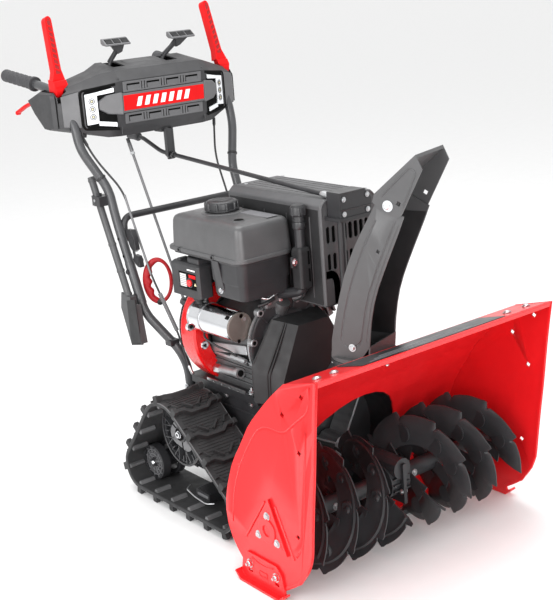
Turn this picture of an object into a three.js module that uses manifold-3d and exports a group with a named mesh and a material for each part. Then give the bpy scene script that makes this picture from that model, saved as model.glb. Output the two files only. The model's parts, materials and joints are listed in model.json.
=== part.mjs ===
// A two stage snowblower on rubber tracks, as an assembly of separate pieces.
// Millimetres, +Z up, the ground at z = 0. The intake faces -Y and the handlebar grips point to +Y.
// The operator's right is -X. Paired pieces are built for the left side (+X) and mirrored for the right.
import * as THREE from "three";
import { mergeVertices } from "three/addons/utils/BufferGeometryUtils.js";
import Module from "manifold-3d";

const wasm = await Module();
wasm.setup();

// ---------------------------------------------------------------- driving dimensions
const SHEET = 3.3; // steel sheet
const GAP = 0.4; // clearance between touching pieces
const HOUSING_HALF = 370; // half the clearing width
const AUGER_AXIS = { y: -533, z: 160 };
const AUGER_RADIUS = 146;
const IMPELLER_Z = 200;
const DRUM_RADIUS = 160;
const DRUM_BACK = -292;
const RING = { y: -470, z: 466, radius: 82, bore: 66 };
const CHUTE_TURN = THREE.MathUtils.degToRad(18);
const CHUTE_HALF = 64;
const TRACK_INNER_X = 151;
const TRACK_OUTER_X = 301;
const BELT = 10;
const LUG = 17;
const SPROCKET = { y: 6, z: 204, radius: 92 };
const FRONT_IDLER = { y: -221, z: 78, radius: 51 };
const REAR_IDLER = { y: 160, z: 78, radius: 51 };
const CHASSIS_HALF = 119;
const DECK_Z = 318;
const CRANK = { x: -20, z: 452 }; // crankshaft centre line
const TUBE = 12.5; // handlebar tube radius
const GRIP_END_Y = 736.1;

const FINISH = {
  redPaint: { color: 0xd8131b, roughness: 0.35, metalness: 0.1 },
  redPlastic: { color: 0xe0151c, roughness: 0.45, metalness: 0 },
  blackSteel: { color: 0x1d1e20, roughness: 0.5, metalness: 0.3 },
  greySteel: { color: 0x6f7174, roughness: 0.5, metalness: 0.3 },
  plastic: { color: 0x3c3d40, roughness: 0.6, metalness: 0 },
  rubber: { color: 0x232426, roughness: 0.85, metalness: 0 },
  castAluminium: { color: 0xb9bcc0, roughness: 0.45, metalness: 0.8 },
  chrome: { color: 0xe6e8ea, roughness: 0.15, metalness: 1 },
  bareSteel: { color: 0x8d9094, roughness: 0.4, metalness: 0.9 },
  lens: { color: 0xf4f6f8, roughness: 0.2, metalness: 0 },
};

// ---------------------------------------------------------------- solid helpers
const point = (x, y, z) => new THREE.Vector3(x, y, z);

function solid(geometry) {
  const bare = new THREE.BufferGeometry();
  const flat = geometry.index ? geometry.toNonIndexed() : geometry;
  bare.setAttribute("position", flat.getAttribute("position"));
  const merged = mergeVertices(bare, 1e-3);
  return new wasm.Manifold(
    new wasm.Mesh({
      numProp: 3,
      vertProperties: merged.attributes.position.array,
      triVerts: new Uint32Array(merged.index.array),
    }),
  );
}

const flatPoints = (pairs) => pairs.map((p) => new THREE.Vector2(...p));
const join = (...parts) => parts.reduce((all, part) => all.add(part));
const cut = (body, ...tools) => tools.reduce((left, tool) => left.subtract(tool), body);

function geometryOf(body) {
  const mesh = body.getMesh();
  const geometry = new THREE.BufferGeometry();
  geometry.setAttribute("position", new THREE.BufferAttribute(new Float32Array(mesh.vertProperties), 3));
  geometry.setIndex(new THREE.BufferAttribute(new Uint32Array(mesh.triVerts), 1));
  geometry.computeVertexNormals();
  return geometry;
}

// A box between two opposite corners, turned about X, Y and Z around its centre.
function block(low, high, turn = [0, 0, 0]) {
  const geometry = new THREE.BoxGeometry(high[0] - low[0], high[1] - low[1], high[2] - low[2]);
  geometry.rotateX(turn[0]);
  geometry.rotateY(turn[1]);
  geometry.rotateZ(turn[2]);
  geometry.translate((low[0] + high[0]) / 2, (low[1] + high[1]) / 2, (low[2] + high[2]) / 2);
  return solid(geometry);
}

// A round bar, or a cone where the end radius differs.
function rod(radius, from, to, sides = 20, endRadius = radius) {
  const a = point(...from);
  const b = point(...to);
  const geometry = new THREE.CylinderGeometry(endRadius, radius, a.distanceTo(b), sides);
  const turn = new THREE.Quaternion().setFromUnitVectors(point(0, 1, 0), b.clone().sub(a).normalize());
  geometry.applyQuaternion(turn);
  geometry.translate((a.x + b.x) / 2, (a.y + b.y) / 2, (a.z + b.z) / 2);
  return solid(geometry);
}

const pipeWall = (outer, inner, from, to, sides) =>
  cut(rod(outer, from, to, sides), rod(inner, lengthen(to, from), lengthen(from, to), sides));

// The point `to`, pushed 5 mm further away from `from`.
function lengthen(from, to) {
  const end = point(...to);
  return end.add(end.clone().sub(point(...from)).setLength(5)).toArray();
}

// A flat outline in the plane across `axis`, thickened from one place on the axis to another.
// Across x the outline is in (y, z), across y in (x, z), and across z in (x, y).
function slab(axis, outline, from, to) {
  const shape = outline instanceof THREE.Shape ? outline : new THREE.Shape(flatPoints(outline));
  const depth = to - from;
  const geometry = new THREE.ExtrudeGeometry(shape, { depth, bevelEnabled: false, curveSegments: 8 });
  const basis = {
    x: [point(0, 1, 0), point(0, 0, 1), point(1, 0, 0)],
    y: [point(-1, 0, 0), point(0, 0, 1), point(0, 1, 0)],
    z: [point(1, 0, 0), point(0, 1, 0), point(0, 0, 1)],
  }[axis];
  if (axis === "y") geometry.scale(-1, 1, 1);
  geometry.applyMatrix4(new THREE.Matrix4().makeBasis(...basis));
  if (axis === "y") flipFaces(geometry);
  geometry.translate(...(axis === "x" ? [from, 0, 0] : axis === "y" ? [0, from, 0] : [0, 0, from]));
  return solid(geometry);
}

// Turns every triangle over, after a mirroring.
function flipFaces(geometry) {
  const position = geometry.getAttribute("position");
  for (let i = 0; i < position.count; i += 3) {
    const a = new THREE.Vector3().fromBufferAttribute(position, i + 1);
    const b = new THREE.Vector3().fromBufferAttribute(position, i + 2);
    position.setXYZ(i + 1, b.x, b.y, b.z);
    position.setXYZ(i + 2, a.x, a.y, a.z);
  }
}

// A round bar that follows corner points, with each corner rounded by `bend`.
function bentRod(radius, corners, bend, sides = 8, arc = 3) {
  const points = corners.map((c) => point(...c));
  const line = [points[0]];
  for (let i = 1; i < points.length - 1; i += 1) {
    const before = points[i].clone().add(points[i - 1].clone().sub(points[i]).setLength(bend));
    const after = points[i].clone().add(points[i + 1].clone().sub(points[i]).setLength(bend));
    line.push(...new THREE.QuadraticBezierCurve3(before, points[i], after).getPoints(arc));
  }
  line.push(points[points.length - 1]);
  return sweep(radius, line, sides);
}

// A round bar through points, its section carried along without twist.
function sweep(radius, line, sides) {
  let tangent = line[1].clone().sub(line[0]).normalize();
  const normal = point(1, 0, 0).projectOnPlane(tangent).normalize();
  const rings = line.map((p, i) => {
    const next = line[Math.min(i + 1, line.length - 1)].clone().sub(line[Math.max(i - 1, 0)]).normalize();
    normal.applyQuaternion(new THREE.Quaternion().setFromUnitVectors(tangent, next));
    tangent = next;
    const side = tangent.clone().cross(normal);
    return Array.from({ length: sides }, (_, k) => {
      const angle = (2 * Math.PI * k) / sides;
      const corner = p.clone().addScaledVector(normal, radius * Math.cos(angle));
      return corner.addScaledVector(side, radius * Math.sin(angle)).toArray();
    });
  });
  return loft(rings);
}

// A closed skin over rings of equally many points, with flat or convex ends.
function loft(rings) {
  const count = rings[0].length;
  const triangles = [];
  for (let i = 0; i < rings.length - 1; i += 1) {
    const a = rings[i];
    const b = rings[i + 1];
    for (let j = 0; j < count; j += 1) {
      const k = (j + 1) % count;
      triangles.push(a[j], b[j], b[k], a[j], b[k], a[k]);
    }
  }
  const last = rings[rings.length - 1];
  for (let j = 1; j < count - 1; j += 1) {
    triangles.push(rings[0][0], rings[0][j], rings[0][j + 1]);
    triangles.push(last[0], last[j + 1], last[j]);
  }
  const geometry = new THREE.BufferGeometry();
  geometry.setAttribute("position", new THREE.Float32BufferAttribute(triangles.flat(), 3));
  const body = solid(geometry);
  if (body.volume() >= 0) return body;
  flipFaces(geometry);
  return solid(geometry);
}

// Moves an open line of (y, z) points sideways; a positive distance is to the right of its direction.
function offsetLine(points, distance) {
  return points.map((p, i) => {
    const before = points[Math.max(i - 1, 0)];
    const after = points[Math.min(i + 1, points.length - 1)];
    const here = i === 0 ? after : p;
    const d1 = new THREE.Vector2(here[0] - before[0], here[1] - before[1]).normalize();
    const last = i === points.length - 1;
    const there = last ? d1 : new THREE.Vector2(after[0] - p[0], after[1] - p[1]).normalize();
    const n = new THREE.Vector2(d1.y + there.y, -d1.x - there.x).normalize();
    const stretch = distance / Math.max(0.5, n.dot(new THREE.Vector2(there.y, -there.x)));
    return [p[0] + n.x * stretch, p[1] + n.y * stretch];
  });
}

const machine = new THREE.Group();
machine.name = "snowblower";

function add(name, body, finish, parent = machine) {
  const mesh = new THREE.Mesh(geometryOf(body), new THREE.MeshStandardMaterial(FINISH[finish]));
  mesh.name = name;
  parent.add(mesh);
  return mesh;
}

// Adds a left piece and its mirror image on the right.
function addPair(name, body, finish) {
  add(`${name}_left`, body, finish);
  add(`${name}_right`, body, finish).scale.x = -1;
}

// ---------------------------------------------------------------- intake housing
// The housing's profile in (y, z): the top edge, the curved back and the bottom.
const backCurve = new THREE.SplineCurve(
  [
    [-625, 531],
    [-575, 490],
    [-535, 452],
    [-485, 400],
    [-448, 345],
    [-410, 290],
    [-385, 235],
    [-370, 190],
    [-365, 145],
    [-372, 110],
    [-390, 75],
    [-425, 38],
  ].map((p) => new THREE.Vector2(...p)),
);
const skinLine = [[-738, 560], ...backCurve.getSpacedPoints(18).map((p) => [p.x, p.y]), [-460, 22]];
const frontEdge = [
  [-578, 25],
  [-635, 60],
  [-668, 105],
  [-682, 140],
  [-689, 200],
  [-697, 262],
  [-709, 345],
  [-722, 455],
];

function sidePlate() {
  const plate = slab("x", [...skinLine, ...frontEdge], HOUSING_HALF - SHEET, HOUSING_HALF);
  const boss = slab("x", [[-543, 240], [-600, 118], [-456, 118]], HOUSING_HALF - 1, HOUSING_HALF + 7);
  const { y, z } = AUGER_AXIS;
  const bearing = rod(30, [HOUSING_HALF - 1, y, z], [HOUSING_HALF + 10, y, z], 24);
  const bore = rod(13.5, [HOUSING_HALF - 6, y, z], [HOUSING_HALF + 7, y, z], 20);
  const bolts = [[-537, 197], [-568, 140], [-500, 140]].map(([by, bz]) =>
    rod(7, [HOUSING_HALF + 5, by, bz], [HOUSING_HALF + 14, by, bz], 6),
  );
  return cut(join(plate, boss, bearing, ...bolts), bore);
}

function housingShell() {
  const lip = [[-735, 546], ...skinLine];
  const outline = [...offsetLine(lip, 0.5), ...offsetLine(lip, 0.5 + SHEET).reverse()];
  const half = HOUSING_HALF - SHEET - GAP;
  const skin = slab("x", outline, -half, half);
  return cut(skin, rod(DRUM_RADIUS, [0, -520, IMPELLER_Z], [0, -300, IMPELLER_Z], 26));
}

const SKID_BOLTS = [-551, -452];
function skidShoe() {
  const x = HOUSING_HALF + GAP;
  const plate = slab(
    "x",
    [[-580, 10], [-570, 1], [-428, 1], [-414, 12], [-426, 60], [-444, 76], [-552, 76], [-570, 60]],
    x,
    x + 5,
  );
  const runner = slab(
    "x",
    [[-592, 16], [-574, 0], [-426, 0], [-408, 18], [-411, 22], [-428, 6], [-572, 6], [-589, 20]],
    x,
    x + 20,
  );
  const slots = SKID_BOLTS.map((y) => block([x - 1, y - 8, 26], [x + 9, y + 8, 34]));
  const bolts = SKID_BOLTS.map((y) => rod(9, [x + 3, y, 48], [x + 10, y, 48], 6));
  return join(cut(plate, ...slots), runner, ...bolts);
}

addPair("side_plate", sidePlate(), "redPaint");
add("housing_shell", housingShell(), "redPaint");
addPair("skid_shoe", skidShoe(), "redPaint");

function scraperBar() {
  const half = HOUSING_HALF - SHEET - GAP;
  return slab("x", [[-476, 6], [-472, 3], [-440, 14], [-440, 21], [-474, 19]], -half, half);
}
add("scraper_bar", scraperBar(), "blackSteel");

// ---------------------------------------------------------------- impeller drum and discharge duct
// The duct leans forward from the drum to the level ring that the chute turns on.
function leaningTube(radius, lowZ, highZ) {
  const lean = -0.85;
  const geometry = new THREE.CylinderGeometry(radius, radius, highZ - lowZ, 18);
  geometry.rotateX(Math.PI / 2);
  geometry.translate(0, 0, (lowZ + highZ) / 2);
  geometry.applyMatrix4(new THREE.Matrix4().makeShear(0, 0, 0, 0, 0, lean));
  geometry.translate(0, RING.y - lean * RING.z, 0);
  return solid(geometry);
}

function impellerHousing() {
  const front = -480;
  const outer = rod(DRUM_RADIUS + SHEET, [0, front, IMPELLER_Z], [0, DRUM_BACK, IMPELLER_Z], 26);
  const inner = rod(DRUM_RADIUS, [0, front - 5, IMPELLER_Z], [0, DRUM_BACK - SHEET, IMPELLER_Z], 26);
  const flange = rod(RING.radius, [0, RING.y, RING.z - 8], [0, RING.y, RING.z], 24);
  const duct = leaningTube(RING.bore + SHEET, 325, RING.z - 4);
  const ductBore = leaningTube(RING.bore, 318, RING.z - 4);
  const ringBore = rod(RING.bore, [0, RING.y, RING.z - 5], [0, RING.y, RING.z + 5], 18);
  const tab = block([20, -420, RING.z - 5], [62, -346, RING.z]);
  const behind = block([-100, DRUM_BACK, 240], [100, -240, 500]);
  const shaftHole = rod(15, [0, DRUM_BACK - 20, IMPELLER_Z], [0, DRUM_BACK + 5, IMPELLER_Z]);
  const intake = slab("x", [...offsetLine(skinLine, -GAP), [-760, 20], [-760, 565]], -380, 380);
  return cut(join(outer, flange, duct, tab), inner, ductBore, ringBore, shaftHole, intake, behind);
}

add("impeller_housing", impellerHousing(), "blackSteel");

function impeller() {
  const shaft = rod(12, [0, -566, IMPELLER_Z], [0, -238, IMPELLER_Z], 12);
  const hub = rod(28, [0, -368, IMPELLER_Z], [0, -302, IMPELLER_Z], 12);
  const blades = [0, 1, 2, 3].map((i) => {
    const angle = (i * Math.PI) / 2 + 0.5;
    const blade = new THREE.BoxGeometry(132, 64, 5);
    blade.translate(84, -336, 0);
    const cup = new THREE.BoxGeometry(5, 64, 26);
    cup.translate(147, -336, 10);
    for (const piece of [blade, cup]) {
      piece.rotateY(angle);
      piece.translate(0, 0, IMPELLER_Z);
    }
    return join(solid(blade), solid(cup));
  });
  return join(shaft, hub, ...blades, pulley(0, IMPELLER_Z, 62, -276));
}

// ---------------------------------------------------------------- augers
const FLIGHT_TURNS = 1.5;

// One serrated ribbon flight, wound round the axis.
function flight(startAngle, fromX, toX) {
  const steps = 33;
  const rings = [];
  for (let i = 0; i <= steps; i += 1) {
    const angle = startAngle + (2 * Math.PI * FLIGHT_TURNS * i) / steps;
    const x = fromX + ((toX - fromX) * i) / steps;
    const tip = AUGER_RADIUS - (i % 3 === 0 ? 14 : 0);
    const corners = [[tip, -2.2], [tip, 2.2], [92, 2.2], [92, -2.2]];
    rings.push(
      corners.map(([r, side]) => [
        x + side,
        AUGER_AXIS.y + r * Math.cos(angle),
        AUGER_AXIS.z + r * Math.sin(angle),
      ]),
    );
  }
  return loft(rings);
}

function auger() {
  const { y, z } = AUGER_AXIS;
  const tube = pipeWall(21, 13.6, [42, y, z], [345, y, z], 12);
  const ends = [48, 322];
  const flights = [0.4, 0.4 + Math.PI].map((start) => flight(start, ...ends));
  const arms = [];
  for (const start of [0.4, 0.4 + Math.PI]) {
    for (const part of [0.03, 0.5, 0.97]) {
      const angle = start + 2 * Math.PI * FLIGHT_TURNS * part;
      const x = ends[0] + (ends[1] - ends[0]) * part;
      const reach = (r) => [x, y + r * Math.cos(angle), z + r * Math.sin(angle)];
      arms.push(rod(7, reach(17), reach(104), 6));
    }
  }
  return join(tube, ...flights, ...arms);
}

function augerGearbox() {
  const { y, z } = AUGER_AXIS;
  const body = rod(44, [-30, y, z], [30, y, z], 16);
  const necks = rod(24, [-38, y, z], [38, y, z], 12);
  const worm = rod(27, [0, -582, IMPELLER_Z], [0, -470, IMPELLER_Z], 12);
  const seam = block([-5, -590, 112], [5, -478, 214]);
  const shaftBore = rod(13.4, [-50, y, z], [50, y, z], 12);
  const wormBore = rod(13.4, [0, -568, IMPELLER_Z], [0, -460, IMPELLER_Z], 12);
  return cut(join(body, necks, worm, seam), shaftBore, wormBore);
}

function augerShaft() {
  const { y, z } = AUGER_AXIS;
  const half = HOUSING_HALF + 6;
  return rod(12.5, [-half, y, z], [half, y, z], 20);
}

addPair("auger", auger(), "blackSteel");
add("auger_shaft", augerShaft(), "bareSteel");
add("auger_gearbox", augerGearbox(), "blackSteel");

// ---------------------------------------------------------------- chute, in its own turned frame
const chuteFrame = new THREE.Group();
chuteFrame.position.set(0, RING.y, 0);
chuteFrame.rotation.z = CHUTE_TURN;
machine.add(chuteFrame);

const chuteBack = new THREE.SplineCurve(
  flatPoints([[53, 474], [52, 505], [43, 547], [28, 604], [2, 686], [-31, 757], [-67, 818], [-92, 860]]),
);
const chuteFront = new THREE.SplineCurve(
  flatPoints([
    [-158, 826],
    [-147, 799],
    [-121, 742],
    [-97, 688],
    [-78, 641],
    [-65, 596],
    [-56, 543],
    [-50, 500],
    [-30, 480],
  ]),
);

function chute() {
  const back = chuteBack.getSpacedPoints(10).map((p) => [p.x, p.y]);
  const front = chuteFront.getSpacedPoints(10).map((p) => [p.x, p.y]);
  const ringTop = RING.z + 10;
  const outer = slab("x", [...back, ...front, [-30, 474]], -CHUTE_HALF, CHUTE_HALF);
  const innerBack = offsetLine(back, -SHEET);
  const inner = slab(
    "x",
    [[innerBack[0][0], 460], ...innerBack, [-80, 900], [-240, 900], [-240, 460]],
    SHEET - CHUTE_HALF,
    CHUTE_HALF - SHEET,
  );
  const ring = rod(RING.radius - 2, [0, 0, RING.z + GAP], [0, 0, ringTop], 32);
  const bore = rod(CHUTE_HALF - 6, [0, 0, RING.z - 5], [0, 0, ringTop + 1], 24);
  const wallHalf = CHUTE_HALF - 1;
  const frontWall = slab("x", [[-50, 470], [-46, 470], [-50, 510], [-54, 510]], -wallHalf, wallHalf);
  return join(cut(outer, inner), cut(join(ring, frontWall), bore));
}

// The deflector hood straddles the chute's top and tips on two pivot bolts.
const PIVOT = { y: -122, z: 850 };
function deflector() {
  const outer = CHUTE_HALF + GAP + SHEET;
  const side = [[-88, 876], [-82, 858], [-96, 842], [-140, 822], [-152, 826], [-210, 934], [-195, 966]];
  const hull = slab("x", side, -outer, outer);
  const hollow = slab(
    "x",
    [[-60, 858], [-92, 867], [-191, 955], [-230, 975], [-230, 800], [-60, 800]],
    SHEET - outer,
    outer - SHEET,
  );
  const bolts = [-1, 1].map((s) =>
    rod(11, [s * (outer - 1), PIVOT.y, PIVOT.z], [s * (outer + 9), PIVOT.y, PIVOT.z], 12),
  );
  return join(cut(hull, hollow), ...bolts);
}

add("chute", chute(), "greySteel", chuteFrame);
add("deflector", deflector(), "greySteel", chuteFrame);

// ---------------------------------------------------------------- chute drive
const CASE = { x: 63, y: -371, low: 783, high: 848 };
const CRANK_CASE_END = [26, CASE.y, 834];
const CRANK_BRACKET = [15, 326, 888];

function chuteGearCase() {
  const { x, y, low, high } = CASE;
  const outline = [[x - 48, low], [x + 48, low], [x + 54, high - 26], [x + 32, high], [x - 48, high]];
  const box = slab("y", outline, y - 24, y + 24);
  const base = block([x - 55, y - 27, low - 5], [x + 55, y + 28, low + 4]);
  const postX = 40;
  const post = rod(10, [postX, y + 6, RING.z + 8], [postX, y + 6, low], 12);
  const foot = block([postX - 14, y - 6, RING.z + GAP], [postX + 18, y + 22, RING.z + 8.5]);
  const [sx, sy, sz] = CRANK_CASE_END;
  const socket = rod(8, [sx, sy + 6, sz + 0.5], [sx, sy + 60, sz + 4.6], 12);
  return cut(join(box, base, post, foot), socket);
}

function crankRod() {
  const [cx, cy, cz] = CRANK_CASE_END;
  const [bx, by, bz] = CRANK_BRACKET;
  const start = [cx, cy + 10, cz + 0.8];
  const rear = [bx - 1, by + 44, bz + 3];
  return join(
    bentRod(6, [start, CRANK_BRACKET, rear, [bx, by + 140, 924], [bx, by + 168, 926]], 9, 8),
    rod(13, [bx, by + 160, 925.5], [bx, by + 214, 929], 12),
  );
}

add("chute_gear_case", chuteGearCase(), "plastic");

// ---------------------------------------------------------------- belt cover, pulleys
function coverRing(y, shrink) {
  const half = [[50, 514], [108, 382], [113, DECK_Z + GAP]];
  const rear = [[76, 522], [150, 415], [150, DECK_Z + GAP]];
  const t = (y + 284) / 74;
  const left = half.map(([x, z], i) => [
    THREE.MathUtils.lerp(x, rear[i][0], t) - shrink,
    THREE.MathUtils.lerp(z, rear[i][1], t) - shrink,
  ]);
  const right = left.map(([x, z]) => [-x, z]).reverse();
  return [...left, ...right].map(([x, z]) => [x, y, z]);
}

function beltCover() {
  const outer = loft([coverRing(-284, 0), coverRing(-210, 0)]);
  const inner = loft([coverRing(-280, 4), coverRing(-205, 4)]);
  return cut(outer, inner);
}

function pulley(x, z, radius, y) {
  return join(
    rod(radius, [x, y, z], [x, y + 5, z], 16),
    rod(radius - 8, [x, y + 4, z], [x, y + 12, z], 16),
    rod(radius, [x, y + 11, z], [x, y + 16, z], 16),
  );
}

add("belt_cover", beltCover(), "plastic");
add("impeller", impeller(), "bareSteel");

// ---------------------------------------------------------------- chassis
function chassis() {
  const shellLow = [-CHASSIS_HALF, -288, 92];
  const shellHigh = [CHASSIS_HALF, 120, DECK_Z];
  const outer = block(shellLow, shellHigh);
  const inner = block([4 - CHASSIS_HALF, -284, 80], [CHASSIS_HALF - 4, 116, DECK_Z - 4]);
  const deck = block([-138, -205, DECK_Z - 1], [138, 92, DECK_Z + 5]);
  const rails = [-1, 1].map((s) => block([s * 133 - 5, -205, DECK_Z - 14], [s * 133 + 5, 92, DECK_Z + 1]));
  const axle = rod(17, [-150, SPROCKET.y, SPROCKET.z], [150, SPROCKET.y, SPROCKET.z], 12);
  const shaft = rod(17, [0, -300, IMPELLER_Z], [0, -200, IMPELLER_Z], 16);
  const beltWindow = block([-80, -276, DECK_Z - 10], [60, -212, DECK_Z + 10]);
  return cut(join(outer, deck, ...rails), inner, axle, shaft, beltWindow);
}

add("chassis", chassis(), "blackSteel");

// ---------------------------------------------------------------- tracks
// The convex outline round the sprocket and both idlers, at a distance from their rims.
function beltLine(distance) {
  const dots = [];
  for (const wheel of [SPROCKET, FRONT_IDLER, REAR_IDLER]) {
    for (let i = 0; i < 40; i += 1) {
      const angle = (2 * Math.PI * i) / 40;
      const r = wheel.radius + distance;
      dots.push([wheel.y + r * Math.cos(angle), wheel.z + r * Math.sin(angle)]);
    }
  }
  dots.sort((a, b) => a[0] - b[0] || a[1] - b[1]);
  const side = (list) => {
    const chain = [];
    for (const p of list) {
      const turn = (a, b) => (b[0] - a[0]) * (p[1] - a[1]) - (b[1] - a[1]) * (p[0] - a[0]);
      while (chain.length > 1 && turn(chain[chain.length - 2], chain[chain.length - 1]) <= 0) chain.pop();
      chain.push(p);
    }
    return chain.slice(0, -1);
  };
  return [...side(dots), ...side([...dots].reverse())];
}

function trackBelt() {
  const line = beltLine(BELT);
  const outer = slab("x", line, TRACK_INNER_X, TRACK_OUTER_X);
  const inner = slab("x", beltLine(0), TRACK_INNER_X - 1, TRACK_OUTER_X + 1);
  const loop = new THREE.Path(line.map((p) => new THREE.Vector2(...p)));
  loop.closePath();
  const count = 16;
  const lugs = [];
  for (let i = 0; i < count; i += 1) {
    const at = loop.getPointAt(i / count);
    const along = loop.getTangentAt(i / count);
    const lug = new THREE.BoxGeometry(TRACK_OUTER_X - TRACK_INNER_X, 12, LUG + 2);
    lug.translate(0, 0, LUG / 2 - 1);
    lug.rotateX(Math.atan2(along.y, along.x) + Math.PI);
    lug.translate((TRACK_INNER_X + TRACK_OUTER_X) / 2, at.x, at.y);
    lugs.push(solid(lug));
  }
  return cut(join(outer, ...lugs), inner);
}

function trackFrame() {
  const x = 157;
  const front = FRONT_IDLER.y - 14;
  const rear = REAR_IDLER.y + 14;
  const outline = [[front, 70], [-60, 62], [rear, 70], [rear, 90], [20, 104], [-130, 104], [front, 90]];
  const bar = slab("x", outline, x, x + 6);
  const arm = block([CHASSIS_HALF + GAP, -130, 88], [x + 2, 40, 110]);
  const upright = block([CHASSIS_HALF + GAP, -90, 100], [x - 28, -30, 200]);
  const skid = block([x + 4, -104, 38], [246, -44, 62]);
  const skidStem = block([x, -92, 45], [x + 6, -56, 80]);
  const pins = [FRONT_IDLER, REAR_IDLER].map((w) => rod(8, [x + 3, w.y, w.z], [252, w.y, w.z], 10));
  return join(bar, arm, upright, skid, skidStem, ...pins);
}

// A dished wheel: a rim, a web and a hub, between two places along X.
function dishedWheel(wheel, rimRadius, fromX, toX) {
  const { y, z } = wheel;
  const rim = pipeWall(rimRadius, rimRadius - 7, [fromX, y, z], [toX, y, z], 24);
  const web = rod(rimRadius - 5, [toX - 16, y, z], [toX - 10, y, z], 24);
  const hub = rod(rimRadius * 0.34, [fromX, y, z], [toX + 2, y, z], 12);
  return join(rim, web, hub);
}

function idler(wheel) {
  const body = dishedWheel(wheel, wheel.radius - 1.5, 172, 246);
  return cut(body, rod(9, [160, wheel.y, wheel.z], [260, wheel.y, wheel.z], 12));
}

function sprocket() {
  const { y, z, radius } = SPROCKET;
  const axle = rod(14, [96, y, z], [258, y, z], 12);
  return join(dishedWheel(SPROCKET, radius - 2, 172, 246), axle);
}

addPair("track_belt", trackBelt(), "rubber");
addPair("track_frame", trackFrame(), "blackSteel");
addPair("sprocket", sprocket(), "blackSteel");
addPair("front_idler", idler(FRONT_IDLER), "blackSteel");
addPair("rear_idler", idler(REAR_IDLER), "blackSteel");

// ---------------------------------------------------------------- engine
function engineBlock() {
  const top = DECK_Z + 5 + GAP;
  const sump = block([-110, -190, top], [80, 20, 400]);
  const crankcase = rod(92, [CRANK.x, -192, CRANK.z], [CRANK.x, 18, CRANK.z], 20);
  const slant = [0, -0.35, 0];
  const barrel = block([-30, -170, 440], [150, 0, 540], slant);
  const fins = [0, 1, 2, 3, 4].map((i) => {
    const x = 60 + 20 * i;
    return block([x, -180, 452 + 7 * i], [x + 6, 10, 560 + 5 * i], slant);
  });
  const shaft = rod(11, [CRANK.x, -246, CRANK.z], [CRANK.x, -180, CRANK.z], 20);
  const neck = rod(20, [-35, -150, 470], [-35, -208, 560], 16);
  const exhaustPipe = bentRod(16, [[110, -90, 520], [116, -120, 600], [92, -150, 690]], 20, 8);
  const muffler = rod(66, [92, -310, 700], [92, -30, 700], 20);
  const crankPulley = pulley(CRANK.x, CRANK.z, 36, -262);
  return join(sump, crankcase, barrel, ...fins, shaft, neck, crankPulley, exhaustPipe, muffler);
}

const RECOIL_RADIUS = 139;
const belowDeck = block([-230, 0, 250], [190, 130, DECK_Z + 6 + GAP]);

// The shroud is a shallow bowl round the flywheel; the starter motor lies in a notch in its rim.
function fanShroud() {
  const { x, z } = CRANK;
  const bowl = join(
    rod(154, [x, 20 + GAP, z], [x, 62, z], 28),
    rod(154, [x, 61.9, z], [x, 78, z], 28, 147),
  );
  const hollow = rod(148, [x, 24, z], [x, 58, z], 28);
  const flywheelRoom = rod(100, [x, 10, z], [x, 30, z], 24);
  const eye = rod(RECOIL_RADIUS + 2, [x, 50, z], [x, 100, z], 28);
  const trim = block([x - 200, 0, 604], [x + 200, 100, 700]);
  const notch = rod(41, [-150, -20, 513], [-150, 44, 513], 20);
  const mufflerRoom = block([-8, 0, 555], [x + 200, 100, 700]);
  return cut(bowl, hollow, flywheelRoom, eye, trim, belowDeck, notch, mufflerRoom);
}

function recoilCover() {
  const { x, z } = CRANK;
  const radius = RECOIL_RADIUS;
  const dish = join(
    rod(radius, [x, 66, z], [x, 98, z], 28),
    rod(radius, [x, 97.9, z], [x, 118, z], 28, radius - 26),
  );
  const inside = join(
    rod(radius - 4, [x, 60, z], [x, 97, z], 28),
    rod(radius - 32, [x, 90, z], [x, 114, z], 24),
    belowDeck,
  );
  const slots = [];
  for (let i = 0; i < 10; i += 1) {
    const angle = (2 * Math.PI * i) / 10;
    const slot = new THREE.BoxGeometry(48, 30, 14);
    slot.translate(76, 112, 0);
    slot.rotateY(angle);
    slot.translate(x, 0, z);
    slots.push(solid(slot));
  }
  return cut(dish, inside, ...slots);
}

const STARTER = { x: -150, z: 513, radius: 40, front: -176, back: 28 };
function starterMotor() {
  const { x, z, radius, front, back } = STARTER;
  const can = rod(radius, [x, front + 6, z], [x, back, z], 24);
  const endCap = rod(radius - 1.5, [x, front, z], [x, front + 8, z], 24);
  const seam = rod(radius + 0.8, [x, -46, z], [x, -41, z], 24);
  return join(can, endCap, seam);
}

const TANK = { left: -12, right: -185, front: -243, back: 57, low: 700, high: 786 };
const CAP = { x: -88, y: -52 };

// A box with its upright edges cut off at the corners.
function chamferedBox(low, high, corner, draft = 0) {
  const ring = (z, inset) => {
    const [x0, x1] = [low[0] + inset, high[0] - inset];
    const [y0, y1] = [low[1] + inset, high[1] - inset];
    return [
      [x0 + corner, y0],
      [x1 - corner, y0],
      [x1, y0 + corner],
      [x1, y1 - corner],
      [x1 - corner, y1],
      [x0 + corner, y1],
      [x0, y1 - corner],
      [x0, y0 + corner],
    ].map(([x, y]) => [x, y, z]);
  };
  return loft([ring(low[2], 0), ring(high[2] - corner, draft), ring(high[2], draft + corner)]);
}

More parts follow.
